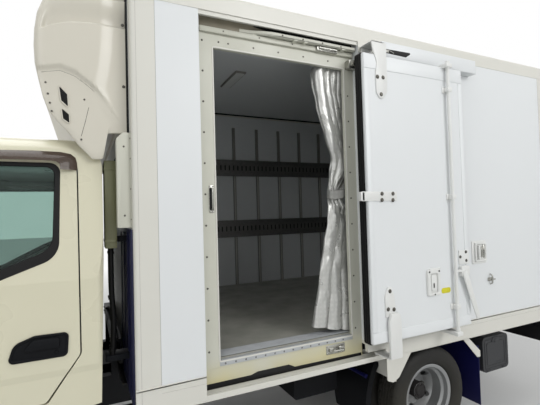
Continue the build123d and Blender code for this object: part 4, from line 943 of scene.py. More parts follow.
# ---- wheels: nuts and studs, hub caps, and the dark drum behind the hand holes
print("wheels")
wheelLook = {
    "front": (0.950, 0.040),     # mounting face and length of the hub, m
    "rear": (0.806, 0.110),
    "nutCircle": 0.111, "nut": 0.0156, "nutHeight": 0.0368,
    "cap": 0.0592, "drum": (0.118, 0.178, -0.066),
}


def hubShapes(look, xAxle, face, length, side):
    place = onSide(face, side)

    def turned(a, b, size, sides, rows, turn=0.0):
        return skin([[place(p.x, p.y, depth) for p in circle(a, b, size * share, sides, turn)]
                     for share, depth in rows])

    nuts, caps = [], []
    for k in range(6):
        turn = math.tau * k / 6
        a = xAxle + look["nutCircle"] * math.cos(turn)
        b = axleHeight + look["nutCircle"] * math.sin(turn)
        nuts.append(turned(a, b, look["nut"], 24, ((1.35, -0.001), (1.35, 0.003), (1.2, 0.007))))
        nuts.append(turned(a, b, look["nut"], 6,
                           ((1, 0.002), (1, 0.034), (0.86, look["nutHeight"])), turn))
        nuts.append(turned(a, b, 1.0, 16, ((0.009, 0.030), (0.009, 0.0395), (0.0075, 0.041))))
    rows = [(1.06, -0.001), (1.06, 0.006), (1.0, 0.010), (1.0, length - 0.003),
            (0.96, length + 0.001), (0.66, length + 0.0015), (0.62, length + 0.006),
            (0.40, length + 0.009), (0.05, length + 0.010)]
    caps.append(turned(xAxle, axleHeight, look["cap"], 40, rows))
    for k in range(8):
        turn = math.tau * (k + 0.5) / 8
        a = xAxle + look["cap"] * 0.81 * math.cos(turn)
        b = axleHeight + look["cap"] * 0.81 * math.sin(turn)
        caps += bolt(onSide(face + length + 0.0008, side), a, b, 0.0055, 0.006)
    inner, outer, depth = look["drum"]
    caps.append(ring(circle(xAxle, axleHeight, outer, 48), circle(xAxle, axleHeight, inner, 48),
                     onSide(face + depth, side), 0.006, 0.001))
    return nuts, caps


for side, name in ((1, "left"), (-1, "right")):
    for end, xAxle, bodyEnd in (("front", frontAxle, "_front_wheel"),
                                ("rear", rearAxle, "_rear_wheels")):
        body = name + bodyEnd
        face, length = wheelLook[end]
        nuts, caps = hubShapes(wheelLook, xAxle, face, length, side)
        makePiece(end + "WheelNuts_" + name, nuts, dullScrew, body)
        makePiece(end + "HubCap_" + name, caps, castHousing, body)


# ---- curtain: gathered coated cloth, tied at its waist
print("curtain")
curtainLook = {
    "flat": (0.92, 1.72),
    "top": 2.647,
    "middleY": 0.963,
    "front": [(0.92, 1.064), (0.985, 1.073), (1.134, 1.106), (1.446, 1.172), (1.605, 1.212),
              (1.784, 1.256), (1.833, 1.256), (2.03, 1.246), (2.322, 1.180), (2.466, 1.147),
              (2.596, 1.133), (2.647, 1.150)],
    "rear": [(0.92, 1.371), (1.102, 1.369), (1.434, 1.346), (1.766, 1.335), (1.833, 1.345),
             (2.034, 1.350), (2.3, 1.358), (2.609, 1.362), (2.647, 1.366)],
    "cut": 0.79,                # cloth taken up across each row, m
    "gather": [(1.55, 0.0), (1.72, 1.1), (1.80, 1.75), (1.90, 1.2), (2.10, 0.0)],
    "hem": [(0.0, 0.978), (0.15, 0.962), (0.3, 0.966), (0.5, 0.936), (0.65, 0.940), (0.8, 0.922),
            (1.0, 0.924)],
    "folds": [(0.92, 3.0), (1.6, 3.3), (1.8, 3.7), (2.1, 3.6), (2.65, 4.0)],
    "depth": [(0.92, 0.084), (1.70, 0.076), (1.775, 0.054), (1.835, 0.054), (1.92, 0.078),
              (2.65, 0.084)],
    "tie": (1.776, 1.832), "tieDepth": 0.040, "tieRoom": 0.010,
    "foldsFrom": 0.945,              # height at which the lowest row's folds are read
}


def curtainRow(look, z, columns):
    front, rear = along(look["front"], z), along(look["rear"], z)
    folds, gather = along(look["folds"], z), along(look["gather"], z)
    drift = 0.10 * math.sin(1.9 * z) + 0.035 * math.sin(5.3 * z + 1)
    waves = []
    for i in range(columns):
        s = (i + 0.5) / columns
        turn = math.tau * (folds * (s + 0.025 * math.sin(math.tau * s + z)) + drift)
        waves.append((math.sin(turn + 0.75 * math.sin(turn)),
                      gather * math.sin(math.tau * 12 * s + 2 * math.sin(7 * z + 5 * s))))
    step = look["cut"] / columns
    low, high = 0.0, 2.3       # how far the cloth turns from straight across, in radians
    for _ in range(18):
        swing = (low + high) / 2
        if sum(math.cos(swing * a + b) for a, b in waves) * step > rear - front:
            low = swing
        else:
            high = swing
    u, y, row = front, 0.0, [(front, 0.0)]
    for a, b in waves:
        u += math.cos(swing * a + b) * step
        y += math.sin(swing * a + b) * step
        row.append((u, y))
    tilt = (row[-1][1] - row[0][1]) / columns
    row = [(u, y - tilt * i) for i, (u, y) in enumerate(row)]
    least, most = min(y for u, y in row), max(y for u, y in row)
    scale = min(1.0, along(look["depth"], z) / (most - least))
    return [(u, look["middleY"] + (y - (least + most) / 2) * scale) for u, y in row]


def curtainCloth(look):
    columns, rows = 400, 190
    loops = []
    for j in range(rows + 1):
        share = j / rows
        loop = []
        ripple = 0.005 * math.sin(22 * share) + 0.003 * math.sin(51 * share + 1)
        height = look["foldsFrom"] + (look["top"] - look["foldsFrom"]) * share
        for i, (u, y) in enumerate(curtainRow(look, height, columns)):
            hem = along(look["hem"], i / columns)
            z = hem + (look["top"] - hem) * share
            fan = math.exp(-((z - 1.80) / 0.28) ** 2) * abs(noise.noise(Vector((i * 0.045, z * 2.2,
                    9.0))))
            crinkle = abs(noise.noise(Vector((i * 0.022 + z * 5.1, z * 8.0 - i * 0.008, 1.0)))) \
                + abs(noise.noise(Vector((i * 0.018 - z * 4.3, z * 6.0 + i * 0.012, 7.0))))
            y += 0.009 * (crinkle - 0.3) - 0.012 * fan
            loop.append(Vector((behind(u + ripple * (1 - i / columns)), min(1.006, max(0.920, y)),
                                z)))
        loops.append(loop)
    return skin(loops, False, False, closed=False)


cloth = makePiece("curtainCloth", [curtainCloth(curtainLook)], silverCloth, sharp=60)
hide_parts("curtain")

tieLoops = []
tieLow, tieHigh = curtainLook["tie"]
for z, grow in ((tieLow, 0.0), (tieLow + 0.003, 0.003), (tieHigh - 0.003, 0.003), (tieHigh, 0.0)):
    row = [u for u, y in curtainRow(curtainLook, z, 400)]
    middle = (min(row) + max(row)) / 2
    half = (max(row) - min(row)) / 2 + curtainLook["tieRoom"] + grow
    deep = curtainLook["tieDepth"] + grow
    loop = []
    for k in range(48):
        t = math.tau * k / 48
        wobble = 1 + 0.05 * math.sin(5 * t + 1)
        loop.append(Vector((behind(middle + half * math.cos(t) * wobble),
                            min(1.007, curtainLook["middleY"] + deep * math.sin(t) * wobble),
                            z + 0.006 * math.sin(t * 2 + 0.5))))
    tieLoops.append(loop)
tie = makePiece("curtainTie", [skin(tieLoops)], darkerTieCloth)

hooks = []
topRow = curtainRow(curtainLook, curtainLook["top"], 400)
for k in range(13):
    top = Vector((behind(topRow[15 + 30 * k][0]), topRow[15 + 30 * k][1], 0))
    hooks.append(tube([(top.x, curtainLook["middleY"], 2.671),
                       (top.x, curtainLook["middleY"], 2.65), (top.x, top.y, 2.642),
                       (top.x, top.y, 2.622)], 0.0022, 6))
makePiece("curtainHooks", hooks, zincPlate)


# ---- doorway: flange, lip, screws, sill strip, track hardware and grab handle
print("doorway")
doorway = {
    "front": 0.443, "rear": 1.320, "bottom": 0.900, "top": 2.617,
    "frontScrews": (0.380, 0.957, 0.1693, 11),
    "rearScrews": (1.350, 0.940, 0.1670, 10),
    "headScrews": [0.475, 0.532, 0.687, 0.849, 1.022, 1.204],
}


def rectangle(uLow, uHigh, zLow, zHigh, radius=0.0, steps=4):
    return rounded(behind(uHigh), zLow, behind(uLow), zHigh, radius, steps)


jamb = onSide(frameFace)
opening = rectangle(doorway["front"], doorway["rear"], doorway["bottom"], doorway["top"], 0.004, 2)
flange = rectangle(doorway["front"] - 0.086, doorway["rear"] + 0.046, doorway["bottom"] - 0.034,
                   doorway["top"] + 0.074, 0.004, 2)
makePiece("doorwayFlange", [ring(flange, inset(opening, -0.001), jamb, 0.0025, 0.001)],
          greigeEnamel)
makePiece("doorwayLip", [ring(inset(opening, -0.009), opening, jamb, 0.0055, 0.002)],
          extrusionPaint)
onFlange = onSide(frameFace + 0.0025)
heads = []
u, z, step, count = doorway["frontScrews"]
heads += [screw(onFlange, behind(u), z + step * k, 0.0055) for k in range(count)]
u, z, step, count = doorway["rearScrews"]
heads += [screw(onFlange, behind(u), z + step * k, 0.0055) for k in range(count)]
heads += [screw(onFlange, behind(u), 2.654, 0.005) for u in doorway["headScrews"]]
heads += [screw(onFlange, behind(0.47 + 0.06 * k), 0.883, 0.0055) for k in range(14)]
makePiece("doorwayScrews", heads, dullScrew)

sillStrips = [
    plate(rectangle(doorway["front"] - 0.004, doorway["rear"] + 0.004, 0.872, 0.898, 0.002, 2),
          onSide(frameFace + 0.0025), 0.002, 0.0008),
    box((behind(doorway["rear"]) + 0.002, innerHalf - 0.10, 0.9141),
        (behind(doorway["front"]) - 0.002, innerHalf - 0.002, 0.9165), 0.001),
    box((behind(doorway["rear"]) + 0.002, innerHalf, 0.9002),
        (behind(doorway["front"]) - 0.002, frameFace + 0.004, 0.9035), 0.001),
]
for k in range(8):
    y = innerHalf - 0.092 + k * 0.0115
    sillStrips.append(box((behind(doorway["rear"]) + 0.004, y, 0.9164),
                          (behind(doorway["front"]) - 0.004, y + 0.004, 0.9185), 0.0006))
makePiece("sillStrips", sillStrips, anodisedSill)
# Dark strip on the jamb, painted as the shade below the frame's lower edge down to the skirt's lip
lowerSlotShadeOutline = roundOff([(behind(1.392), 0.7575, 0), (behind(0.362), 0.7575, 0),
                        (behind(0.362), 0.788, 0), (behind(0.62), 0.788, 0.01),
                        (behind(0.66), 0.800, 0.01), (behind(0.86), 0.800, 0.01),
                        (behind(0.90), 0.780, 0.01), (behind(1.392), 0.776, 0)], 3)
onHeader = onSide(frameFace + 0.006)
# The header's back panel is painted shade: dark brown enamel for the recess in shadow
headPanels = [plate(rectangle(0.364, 1.391, 2.728, 2.783, 0.002, 2), onHeader, 0.0015, 0.0004)]
makePiece("headerPanel", headPanels, shadedHeaderEnamel)
makePiece("headerStrip", [box((behind(1.391), frameFace, 2.6975),
                              (behind(0.364), frameFace + 0.017, 2.727), 0.003)], greigeEnamel,
          slot="trim_white")
# Black plates paint the shade in the gap between the curved track and the roof rail
gapShadeLoop = roundOff([(behind(1.391), 2.752, 0), (behind(0.90), 2.752, 0.02),
                    (behind(0.62), 2.7835, 0.004), (behind(1.391), 2.7835, 0)], 4)
makePiece("headerGapShade", [plate(gapShadeLoop, onHeader, 0.0022, 0.0003),
                        plate(rectangle(0.90, 1.391, 2.7275, 2.752), onHeader, 0.002, 0.0003)],
          blackRubber)
makePiece("lowerTrackSlotShade", [plate(lowerSlotShadeOutline, jamb, 0.001, 0.0003)], blackRubber)

strikerLoop = [(behind(u), frameFace + out, 0.834)
               for u, out in ((1.235, 0.02), (1.235, 0.034), (1.160, 0.034), (1.160, 0.014))]
striker = [
    plate(rectangle(1.122, 1.262, 0.806, 0.862, 0.004), jamb, 0.004),
    box((behind(1.245), frameFace + 0.003, 0.815), (behind(1.205), frameFace + 0.022, 0.853), 0.003),
    box((behind(1.180), frameFace + 0.003, 0.822), (behind(1.140), frameFace + 0.016, 0.846), 0.003),
    tube(bend(strikerLoop, 0.01), 0.005),
]
striker += [screw(onSide(frameFace + 0.004), behind(u), z, 0.005) for u in (1.129, 1.255)
            for z in (0.814, 0.854)]
grip = [onFlange(behind(0.413), z, out)
        for z, out in ((1.722, 0.002), (1.722, 0.026), (1.834, 0.026), (1.834, 0.002))]
grab = [plate(rectangle(0.399, 0.427, 1.702, 1.854, 0.006), onFlange, 0.003),
        tube(bend(grip, 0.014), 0.0045)]
makePiece("grabRecess", [plate(rectangle(0.401, 0.425, 1.716, 1.840, 0.008),
                               onSide(frameFace + 0.0055), 0.001, 0.0003)], blackRubber)
grab += [screw(onSide(frameFace + 0.0055), behind(u), z, 0.004) for u in (0.405, 0.421)
         for z in (1.71, 1.846)]
trackEnd = [
    box((behind(1.262), frameFace + 0.004, 2.698), (behind(1.108), frameFace + 0.030, 2.733), 0.004),
    box((behind(1.235), frameFace + 0.028, 2.704), (behind(1.15), frameFace + 0.038, 2.726), 0.003),
    tube([(behind(u), frameFace + 0.034, 2.715) for u in (1.25, 1.12)], 0.008),
]
roller = [
    plate(rectangle(1.335, 1.405, 2.612, 2.668, 0.008), onSide(frameFace + 0.045), 0.005, back=0.04),
    tube([(behind(1.37), frameFace + out, 2.64) for out in (0.05, 0.066)], 0.016, 20),
]
makePiece("doorwayHardware", striker + grab + trackEnd + roller, zincPlate)

guidePath = [(behind(0.60), frameFace + 0.008), (behind(0.665), frameFace + 0.012),
             (behind(0.74), frameFace + 0.034), (behind(0.80), frameFace + 0.044),
             (behind(1.391), frameFace + 0.044)]
guideCurve = [Vector((p.x, p.y)) for p in bend([(a, b, 0) for a, b in guidePath], 0.05, 6)]
shelf = guideCurve + [Vector((behind(1.391), frameFace)), Vector((behind(0.60), frameFace))]
track = [plate(shelf, onTop(2.731), 0.004, 0.0005)]
lipLoops = []
for spot in guideCurve:
    lipLoops.append([Vector((spot.x, spot.y + dy, z))
                     for dy, z in ((-0.004, 2.728), (0, 2.7295), (0, 2.7505), (-0.004, 2.752))])
track.append(skin(lipLoops))
for u, reach in ((0.69, 0.016), (0.95, 0.046), (1.02, 0.046), (1.30, 0.046)):
    track.append(box((behind(u + 0.012), frameFace, 2.722),
                     (behind(u - 0.012), frameFace + reach, 2.731), 0.001))
makePiece("upperTrack", track, greigeEnamel, slot="rail_metal")
trackScrews = [screw(onSide(frameFace + 0.044), behind(u), 2.741, 0.005)
               for u in (0.86, 1.0, 1.14, 1.28)]
trackScrews += [screw(onSide(frameFace + 0.017), behind(u), 2.713, 0.004)
                for u in (0.50, 0.72, 0.94)]
makePiece("trackScrews", trackScrews, dullScrew)


# ---- inside the box: slotted faces of the lashing rails, cove strips and ceiling lamp
print("inside the box")


def onInner(y):
    return lambda a, b, depth: Vector((a, y - math.copysign(depth, y), b))


def around(a, b, size):
    halfWide, halfHigh, radius = size
    return rounded(a - halfWide, b - halfHigh, a + halfWide, b + halfHigh, radius, 2)


liningLook = {
    "rails": ((1.439, 1.626), (2.121, 2.301)), "pitch": 0.05, "thickness": 0.022,
    "slot": (0.007, 0.028, 0.005),          # half width, half height, corner radius
    "lipInner": (0.008, 0.030, 0.005), "lipOuter": (0.013, 0.036, 0.007),
    "ribs": 12, "firstRib": 0.184, "ribPitch": 0.282, "ribDepth": 0.014,
    "ribHeights": ((0.9105, 1.438), (1.627, 2.120), (2.302, 2.664)),
}
# Black plates in the rails' slots paint the shade inside the holes; the lips round them are bare metal
slotShades, lips = [], []
rear = boxRear + 0.15
for side in (1, -1):
    wall = innerHalf - liningLook["thickness"]
    front = behind(0.11) if side == -1 else behind(1.44)
    inward = onInner(side * wall)
    nearY, farY = sorted((side * wall, side * (wall - 0.006)))
    for low, high in liningLook["rails"]:
        middle = (low + high) / 2
        for k in range(int((front - rear - 0.06) / liningLook["pitch"])):
            x = front - 0.04 - k * liningLook["pitch"]
            slotShades.append(plate(around(x, middle, liningLook["slot"]), inward, 0.0008, 0.0002))
            lips.append(ring(around(x, middle, liningLook["lipOuter"]),
                             around(x, middle, liningLook["lipInner"]), inward, 0.0025, 0.0008))
        for z in (low + 0.006, middle - 0.052, middle + 0.052, high - 0.006):
            lips.append(box((rear, nearY, z - 0.004), (front, farY, z + 0.004), 0.0015))
makePiece("lashingSlotShades", slotShades, blackRubber)
makePiece("lashingLips", lips, galvanisedRail)

cove = [box((boxRear + 0.13, -innerHalf, 2.806), (behind(0.09), -innerHalf + 0.012, 2.8197), 0.002)]
makePiece("ceilingJoint", cove, blackRubber)
ribFaces, ribCentres = [], []
wall = innerHalf - liningLook["ribDepth"]
for number in range(liningLook["ribs"]):
    u = liningLook["firstRib"] + liningLook["ribPitch"] * number
    for side in (1, -1):
        if side == 1 and u < 1.5:           # the doorway is here
            continue
        for low, high in liningLook["ribHeights"]:
            ribFaces.append(plate(rectangle(u - 0.0155, u + 0.0155, low, high, 0.002, 2),
                                  onInner(side * wall), 0.001, 0.0004))
            if low < 2.2:
                ribCentres.append(plate(rectangle(u - 0.008, u + 0.008, low, high, 0.002, 2),
                                        onInner(side * (wall - 0.001)), 0.003, 0.001))
makePiece("ribFaces", ribFaces, greyRib)
makePiece("ribCentres", ribCentres, paleRib)
lampBody = [box((behind(0.962), -0.125, 2.806), (behind(0.872), 0.262, 2.8199), 0.004)]
makePiece("ceilingLampBody", lampBody, greyRib)
lampLens = [box((behind(0.952), -0.112, 2.800), (behind(0.882), 0.249, 2.8065), 0.003)]
makePiece("ceilingLampLens", lampLens, opalAcrylic)


# ---- side door: edge bands, arms with their bolts, lock rod, handle and lever
print("side door")
doorLook = {
    "front": 1.345, "rear": 2.225, "bottom": 0.875, "top": 2.670,
    "bandTop": 2.575, "bandBottom": 0.945, "bandFront": 1.385, "bandRear": 2.185,
    "topArmBolts": [(1.450, 2.525), (1.495, 2.526), (1.475, 2.417)],
    "middleBolts": [(1.452, 1.793), (1.450, 1.754), (1.541, 1.793), (1.539, 1.753)],
    "lowArmBolts": [(1.487, 1.188), (1.468, 1.079), (1.514, 1.073)],
    "hingeBolts": [(2.190, 1.383), (2.191, 1.323), (2.132, 1.352)],
    "rod": 2.060, "rodBrackets": [2.506, 1.769, 1.023],
    "edgeShadeWraps": ((0.003, 0.0, 0.058), (0.007, 0.004, 0.010), (0.007, 0.022, 0.010),
              (0.007, 0.040, 0.010)),           # grown by, starts at, depth
    "leverTop": (2.150, 1.235), "leverEnd": (2.262, 0.930),
}
onDoor = onSide(doorFace)
doorFront, doorRear = doorLook["front"] + 0.004, doorLook["rear"] - 0.004
bandLow, bandHigh = doorLook["bandBottom"] + 0.002, doorLook["bandTop"] - 0.002
bands = [
    plate(rectangle(doorFront, doorRear, doorLook["bandTop"], doorLook["top"] - 0.004, 0.003, 2),
          onDoor, 0.0025, 0.001),
    plate(rectangle(doorFront, doorRear, doorLook["bottom"] + 0.004, doorLook["bandBottom"],
                    0.003, 2), onDoor, 0.0025, 0.001),
    plate(rectangle(doorFront, doorLook["bandFront"], bandLow, bandHigh, 0.003, 2), onDoor,
          0.002, 0.001),
    plate(rectangle(doorLook["bandRear"], doorRear, bandLow, bandHigh, 0.003, 2), onDoor,
          0.002, 0.001),
    plate(rectangle(doorLook["rod"] + 0.034, doorLook["rod"] + 0.044, bandLow, bandHigh, 0.002, 2),
          onDoor, 0.002, 0.001),
]
makePiece("sideDoorBands", bands, panelSkin)
gasket = rectangle(doorLook["front"] + 0.012, doorLook["rear"] - 0.012, doorLook["bottom"] + 0.012,
                   doorLook["top"] - 0.012, 0.02, 4)
doorEdge = rectangle(doorLook["front"], doorLook["rear"], doorLook["bottom"], doorLook["top"],
                     0.012, 3)


def backOfDoor(a, b, depth):
    return Vector((a, doorFace - 0.077 - depth, b))


# Black bands over the door's edges: partly its rubber seal, partly painted shade on the white edge
# face
edgeShadeWraps = [ring(inset(doorEdge, -grow), inset(doorEdge, 0.004), onSide(doorFace - 0.075 + start),
              deep, 0.0015) for grow, start, deep in doorLook["edgeShadeWraps"]]
makePiece("sideDoorGasketAndEdgeShade", [ring(gasket, inset(gasket, 0.028), backOfDoor, 0.018, 0.005)] + edgeShadeWraps,
          blackRubber)


def armPlate(rows, lift, thickness=0.008, steps=5):
    return plate(roundOff([(behind(u), z, radius) for u, z, radius in rows], steps),
                 onSide(doorFace + lift), thickness, 0.002)


arms = [
    armPlate([(1.530, 2.752, 0.004), (1.530, 2.52, 0.06), (1.526, 2.432, 0.04),
              (1.492, 2.392, 0.022), (1.466, 2.392, 0.022), (1.440, 2.425, 0.03),
              (1.438, 2.545, 0.06), (1.450, 2.62, 0.06), (1.420, 2.70, 0.05),
              (1.410, 2.752, 0.004)], 0),
    armPlate([(1.575, 1.748, 0.004), (1.575, 1.806, 0.004), (1.300, 1.807, 0.004),
              (1.300, 1.748, 0.004)], 0),
    armPlate([(1.500, 1.215, 0.016), (1.472, 1.215, 0.016), (1.448, 1.160, 0.02),
              (1.452, 1.03, 0.004), (1.535, 1.03, 0.004), (1.522, 1.160, 0.03)], 0),
    armPlate([(1.545, 1.052, 0.012), (1.478, 1.052, 0.012), (1.462, 1.0, 0.02),
              (1.464, 0.775, 0.01), (1.556, 0.775, 0.01), (1.556, 1.0, 0.03)], 0.008, 0.018),
    plate(rounded(behind(1.575), doorFace + 0.006, behind(1.30), doorFace - 0.006, 0.003, 2),
          onTop(1.806), 0.001, 0.0004),
    box((behind(1.512), halfWidth + 0.0063, 2.744), (behind(1.410), doorFace + 0.008, 2.752),
        0.002),
    box((behind(1.500), halfWidth + 0.0063, 2.690), (behind(1.420), halfWidth + 0.016, 2.752),
        0.002),
    box((behind(1.535), halfWidth - 0.020, 0.771), (behind(1.464), doorFace + 0.016, 0.779), 0.002),
    box((behind(1.500), halfWidth - 0.020, 0.7325), (behind(1.470), halfWidth - 0.012, 0.776),
        0.002),
    box((behind(1.318), doorFace - 0.03, 1.750), (behind(1.290), doorFace + 0.008, 1.805), 0.003),
]
makePiece("sideDoorArms", arms, powderCoat)
armBolts = []
for group in ("topArmBolts", "middleBolts", "lowArmBolts"):
    for u, z in doorLook[group]:
        armBolts += bolt(onSide(doorFace + 0.008), behind(u), z, 0.0095)
for u, z in doorLook["hingeBolts"]:
    armBolts += bolt(onSide(doorFace + 0.006), behind(u), z, 0.008)
makePiece("sideDoorBolts", armBolts, dullScrew)

rodX = behind(doorLook["rod"])
rodY = doorFace + 0.024
lockRod = [
    tube([(rodX, rodY, 0.862), (rodX, rodY, 2.690)], 0.0115, 18),
    tube([(rodX, rodY, 2.655), (rodX, rodY, 2.705)], 0.015, 18),
    tube([(rodX, rodY, 0.835), (rodX, rodY, 0.875)], 0.015, 18),
]
for z in doorLook["rodBrackets"]:
    lockRod.append(plate(rectangle(doorLook["rod"] - 0.036, doorLook["rod"] + 0.036, z - 0.020,
                                   z + 0.020, 0.006), onDoor, 0.006))
    lockRod.append(box((rodX - 0.019, doorFace + 0.004, z - 0.016),
                       (rodX + 0.019, rodY + 0.016, z + 0.016), 0.004))
for z, height in ((2.684, 0.024), (0.850, 0.022)):
    lockRod.append(box((rodX - 0.028, halfWidth + 0.01, z - height),
                       (rodX + 0.028, rodY + 0.018, z + height * 0.2), 0.004))
leverTop, leverEnd = doorLook["leverTop"], doorLook["leverEnd"]
leverWay = Vector((leverEnd[0] - leverTop[0], leverEnd[1] - leverTop[1])).normalized()
leverAcross = Vector((-leverWay.y, leverWay.x))
leverOutline = []
for end, half, way in ((leverTop, 0.024, -1), (leverEnd, 0.018, 1)):
    for k in range(13):
        t = math.pi * k / 12
        spot = Vector(end) + (leverWay * math.sin(t) - leverAcross * math.cos(t)) * half * way
        leverOutline.append(Vector((behind(spot.x), spot.y)))
lockRod += [
    plate(rectangle(2.120, 2.223, 1.300, 1.396, 0.006), onDoor, 0.006),
    plate(rectangle(2.120, 2.203, 1.219, 1.290, 0.010), onDoor, 0.024, 0.005),
    plate(leverOutline, onSide(doorFace + 0.024), 0.008, 0.003),
    plate(rectangle(2.062, 2.16, 1.250, 1.268, 0.006), onSide(doorFace + 0.010), 0.012, 0.003),
]
makePiece("sideDoorLockRod", lockRod, powderCoat)

handleOutline = rectangle(1.808, 1.924, 1.118, 1.290, 0.014)
handleRecess = rectangle(1.836, 1.900, 1.135, 1.262, 0.012)
handle = [
    ring(handleOutline, handleRecess, onDoor, 0.016, 0.004),
    plate(handleRecess, onDoor, 0.004, 0.001),
    plate(rectangle(1.843, 1.893, 1.150, 1.255, 0.010), onSide(doorFace + 0.004), 0.008, 0.003),
    plate(rectangle(1.830, 1.930, 1.285, 1.297, 0.004), onDoor, 0.012, 0.002),
]
makePiece("sideDoorHandle", handle, powderCoat)
keyhole = [plate(rectangle(1.858, 1.868, 1.168, 1.200, 0.004), onSide(doorFace + 0.012), 0.0015,
                 0.0005)]
keyhole += [screw(onSide(doorFace + 0.016), behind(u), z, radius)
            for u, z, radius in ((1.822, 1.276, 0.006), (1.910, 1.276, 0.006), (1.866, 1.126, 0.005))]
makePiece("sideDoorKeyhole", keyhole, blackRubber)
label = rectangle(1.943, 2.030, 1.119, 1.155, 0.016, 6)
makePiece("bareYellowLabel", [plate(label, onDoor, 0.0012, 0.0004)], yellowVinyl)

onWall = onSide(halfWidth)
wallLock = [
    plate(rectangle(2.405, 2.563, 1.267, 1.440, 0.012), onWall, 0.005),
    ring(rectangle(2.430, 2.556, 1.282, 1.425, 0.012), rectangle(2.445, 2.542, 1.296, 1.411, 0.01),
         onSide(halfWidth + 0.005), 0.012, 0.003),
    box((behind(2.47), halfWidth + 0.004, 1.30), (behind(2.452), halfWidth + 0.030, 1.405), 0.004),
]
makePiece("wallLockPlate", wallLock, powderCoat)
wallClips = [
    tube(bend([onWall(behind(2.530), 1.405, 0.006), onWall(behind(2.522), 1.37, 0.018),
               onWall(behind(2.530), 1.31, 0.006)], 0.02), 0.006, 10),
    box((behind(2.515), halfWidth + 0.004, 1.315), (behind(2.495), halfWidth + 0.018, 1.395),
        0.003),
    plate(rectangle(2.575, 2.640, 1.122, 1.150, 0.004), onWall, 0.004),
    tube(bend([onWall(behind(2.60), 1.176, 0.004), onWall(behind(2.60), 1.168, 0.022),
               onWall(behind(2.60), 1.11, 0.022), onWall(behind(2.60), 1.100, 0.004)], 0.012),
         0.005, 10),
    tube([onWall(behind(2.57), 1.135, 0.012), onWall(behind(2.645), 1.135, 0.012)], 0.0055, 10),
]
makePiece("wallClips", wallClips, zincPlate)
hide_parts("side_door_fittings")

# ---- box outside: panel seams, edge and skirt trims, and the cover over the door rail's end
print("box outside")
boxOutside = {
    "seams": ((0.0265, 0.0275, 0.735), (0.1193, 0.1207, 0.860), (3.3303, 3.3317, 0.860)),
    "front": 0.002, "rear": 3.449, "top": 2.789,
    "doorGap": (0.346, 1.402),              # where the skirt's trims stop for the side door
    "cover": (1.545, 2.4495, 2.6915, 2.7905, 0.0666),
    "coverSlot": ((1.806, 2.748, 0.006), (1.750, 2.712, 0.006), (1.560, 2.716, 0.003),
                  (1.560, 2.742, 0.003)),
}
seams, trims = [], []
front, rear, top = boxOutside["front"], boxOutside["rear"], boxOutside["top"]
gapFront, gapRear = boxOutside["doorGap"]
for side in (1, -1):
    face = onSide(halfWidth, side)
    for low, high, bottom in boxOutside["seams"]:
        seams.append(plate(rectangle(low, high, bottom, top), face, 0.0004, 0.0002))
    trims.append(plate(rectangle(0.0, rear, top, 2.793), face, 0.002, 0.0008))
    reach = [(front, gapFront), (gapRear, rear)] if side == 1 else [(front, rear)]
    for low, high in reach:
        trims.append(plate(rectangle(low, high, 0.8490, 0.8590), face, 0.006, 0.005))
        seams.append(plate(rectangle(low + 0.12, high, 0.8205, 0.8212), face, 0.0004, 0.0002))
        trims.append(plate(rectangle(low, high, 0.7275, 0.7345), face, 0.002, 0.0008))
makePiece("panelSeams", seams, greyRib, slot="dark_plastic")
makePiece("skirtTrims", trims, extrusionPaint)

front, rear, low, high, deep = boxOutside["cover"]
railCover = box((behind(rear), halfWidth, low), (behind(front), halfWidth + deep, high), 0.002)
latch = [
    plate(rectangle(1.566, 1.600, 2.719, 2.738, 0.004), onSide(halfWidth + 0.0672), 0.004),
    tube([(behind(1.600), halfWidth + 0.070, 2.735), (behind(1.640), halfWidth + 0.070, 2.722)],
         0.003, 8),
]
slotRows = [(behind(u), z, radius) for u, z, radius in boxOutside["coverSlot"]]
coverSlot = plate(roundOff(slotRows, 3), onSide(halfWidth + deep), 0.0008, 0.0003)
makePiece("railCoverSkin", [railCover], panelSkin)
makePiece("railCoverLatch", latch, zincPlate)
makePiece("railCoverSlot", [coverSlot], blackRubber)


# ---- cab doors: window rubber, smoked visor and recessed handle
print("cab doors")
# Rows are distance, height and corner radius. Windows and visors are measured ahead of the
# cab's back, handles behind the box's face
cabLook = {
    "half": 0.9975, "roofHalf": 0.9295, "belt": 1.40, "roof": 2.094,
    "hinge": 0.268, "slope": (0.4255 - 0.100) / (2.130 - 1.290),
    "window": ((0.188, 1.962, 0.045), (0.196, 1.515, 0.100), (0.420, 1.430, 0.200),
               (0.740, 1.265, 0.150)),
    "pane": ((0.211, 1.944, 0.040), (0.222, 1.553, 0.090), (0.425, 1.472, 0.200),
             (0.745, 1.305, 0.150)),
    "handle": ((-0.530, 1.052, 0.020), (-0.290, 1.052, 0.022), (-0.284, 1.162, 0.022),
               (-0.425, 1.164, 0.05), (-0.505, 1.135, 0.05)),
    "flap": ((-0.470, 1.098, 0.01), (-0.325, 1.098, 0.01), (-0.318, 1.146, 0.014),
             (-0.43, 1.148, 0.03)),
    "visorTop": ((0.112, 1.93), (0.113, 1.965), (0.120, 1.993), (0.140, 2.010), (0.185, 2.019),
                 (0.30, 2.021), (0.62, 2.014), (0.88, 2.004), (1.06, 1.994), (1.125, 1.985)),
    "visorLow": ((0.185, 1.93), (0.185, 1.945), (0.188, 1.957), (0.200, 1.966), (0.22, 1.971),
                 (0.30, 1.972), (0.62, 1.968), (0.90, 1.958), (1.07, 1.950), (1.13, 1.958)),
    "visorArch": ((0, 0.004), (0.25, 0.018), (0.6, 0.030), (1.0, 0.036), (1.0, 0.033),
                  (0.6, 0.027), (0.25, 0.015), (0, 0.001)),      # share of the way out, lift
}


def cabSide(z):
    if z < cabLook["belt"]:
        return cabLook["half"]
    share = (z - cabLook["belt"]) / (cabLook["roof"] - cabLook["belt"])
    return cabLook["half"] - (cabLook["half"] - cabLook["roofHalf"]) * share


def onCab(lift, side):
    return lambda a, b, depth: Vector((a, side * (cabSide(b) + lift + depth), b))


def placed(measure, rows):
    return [(measure(distance), z, radius) for distance, z, radius in rows]


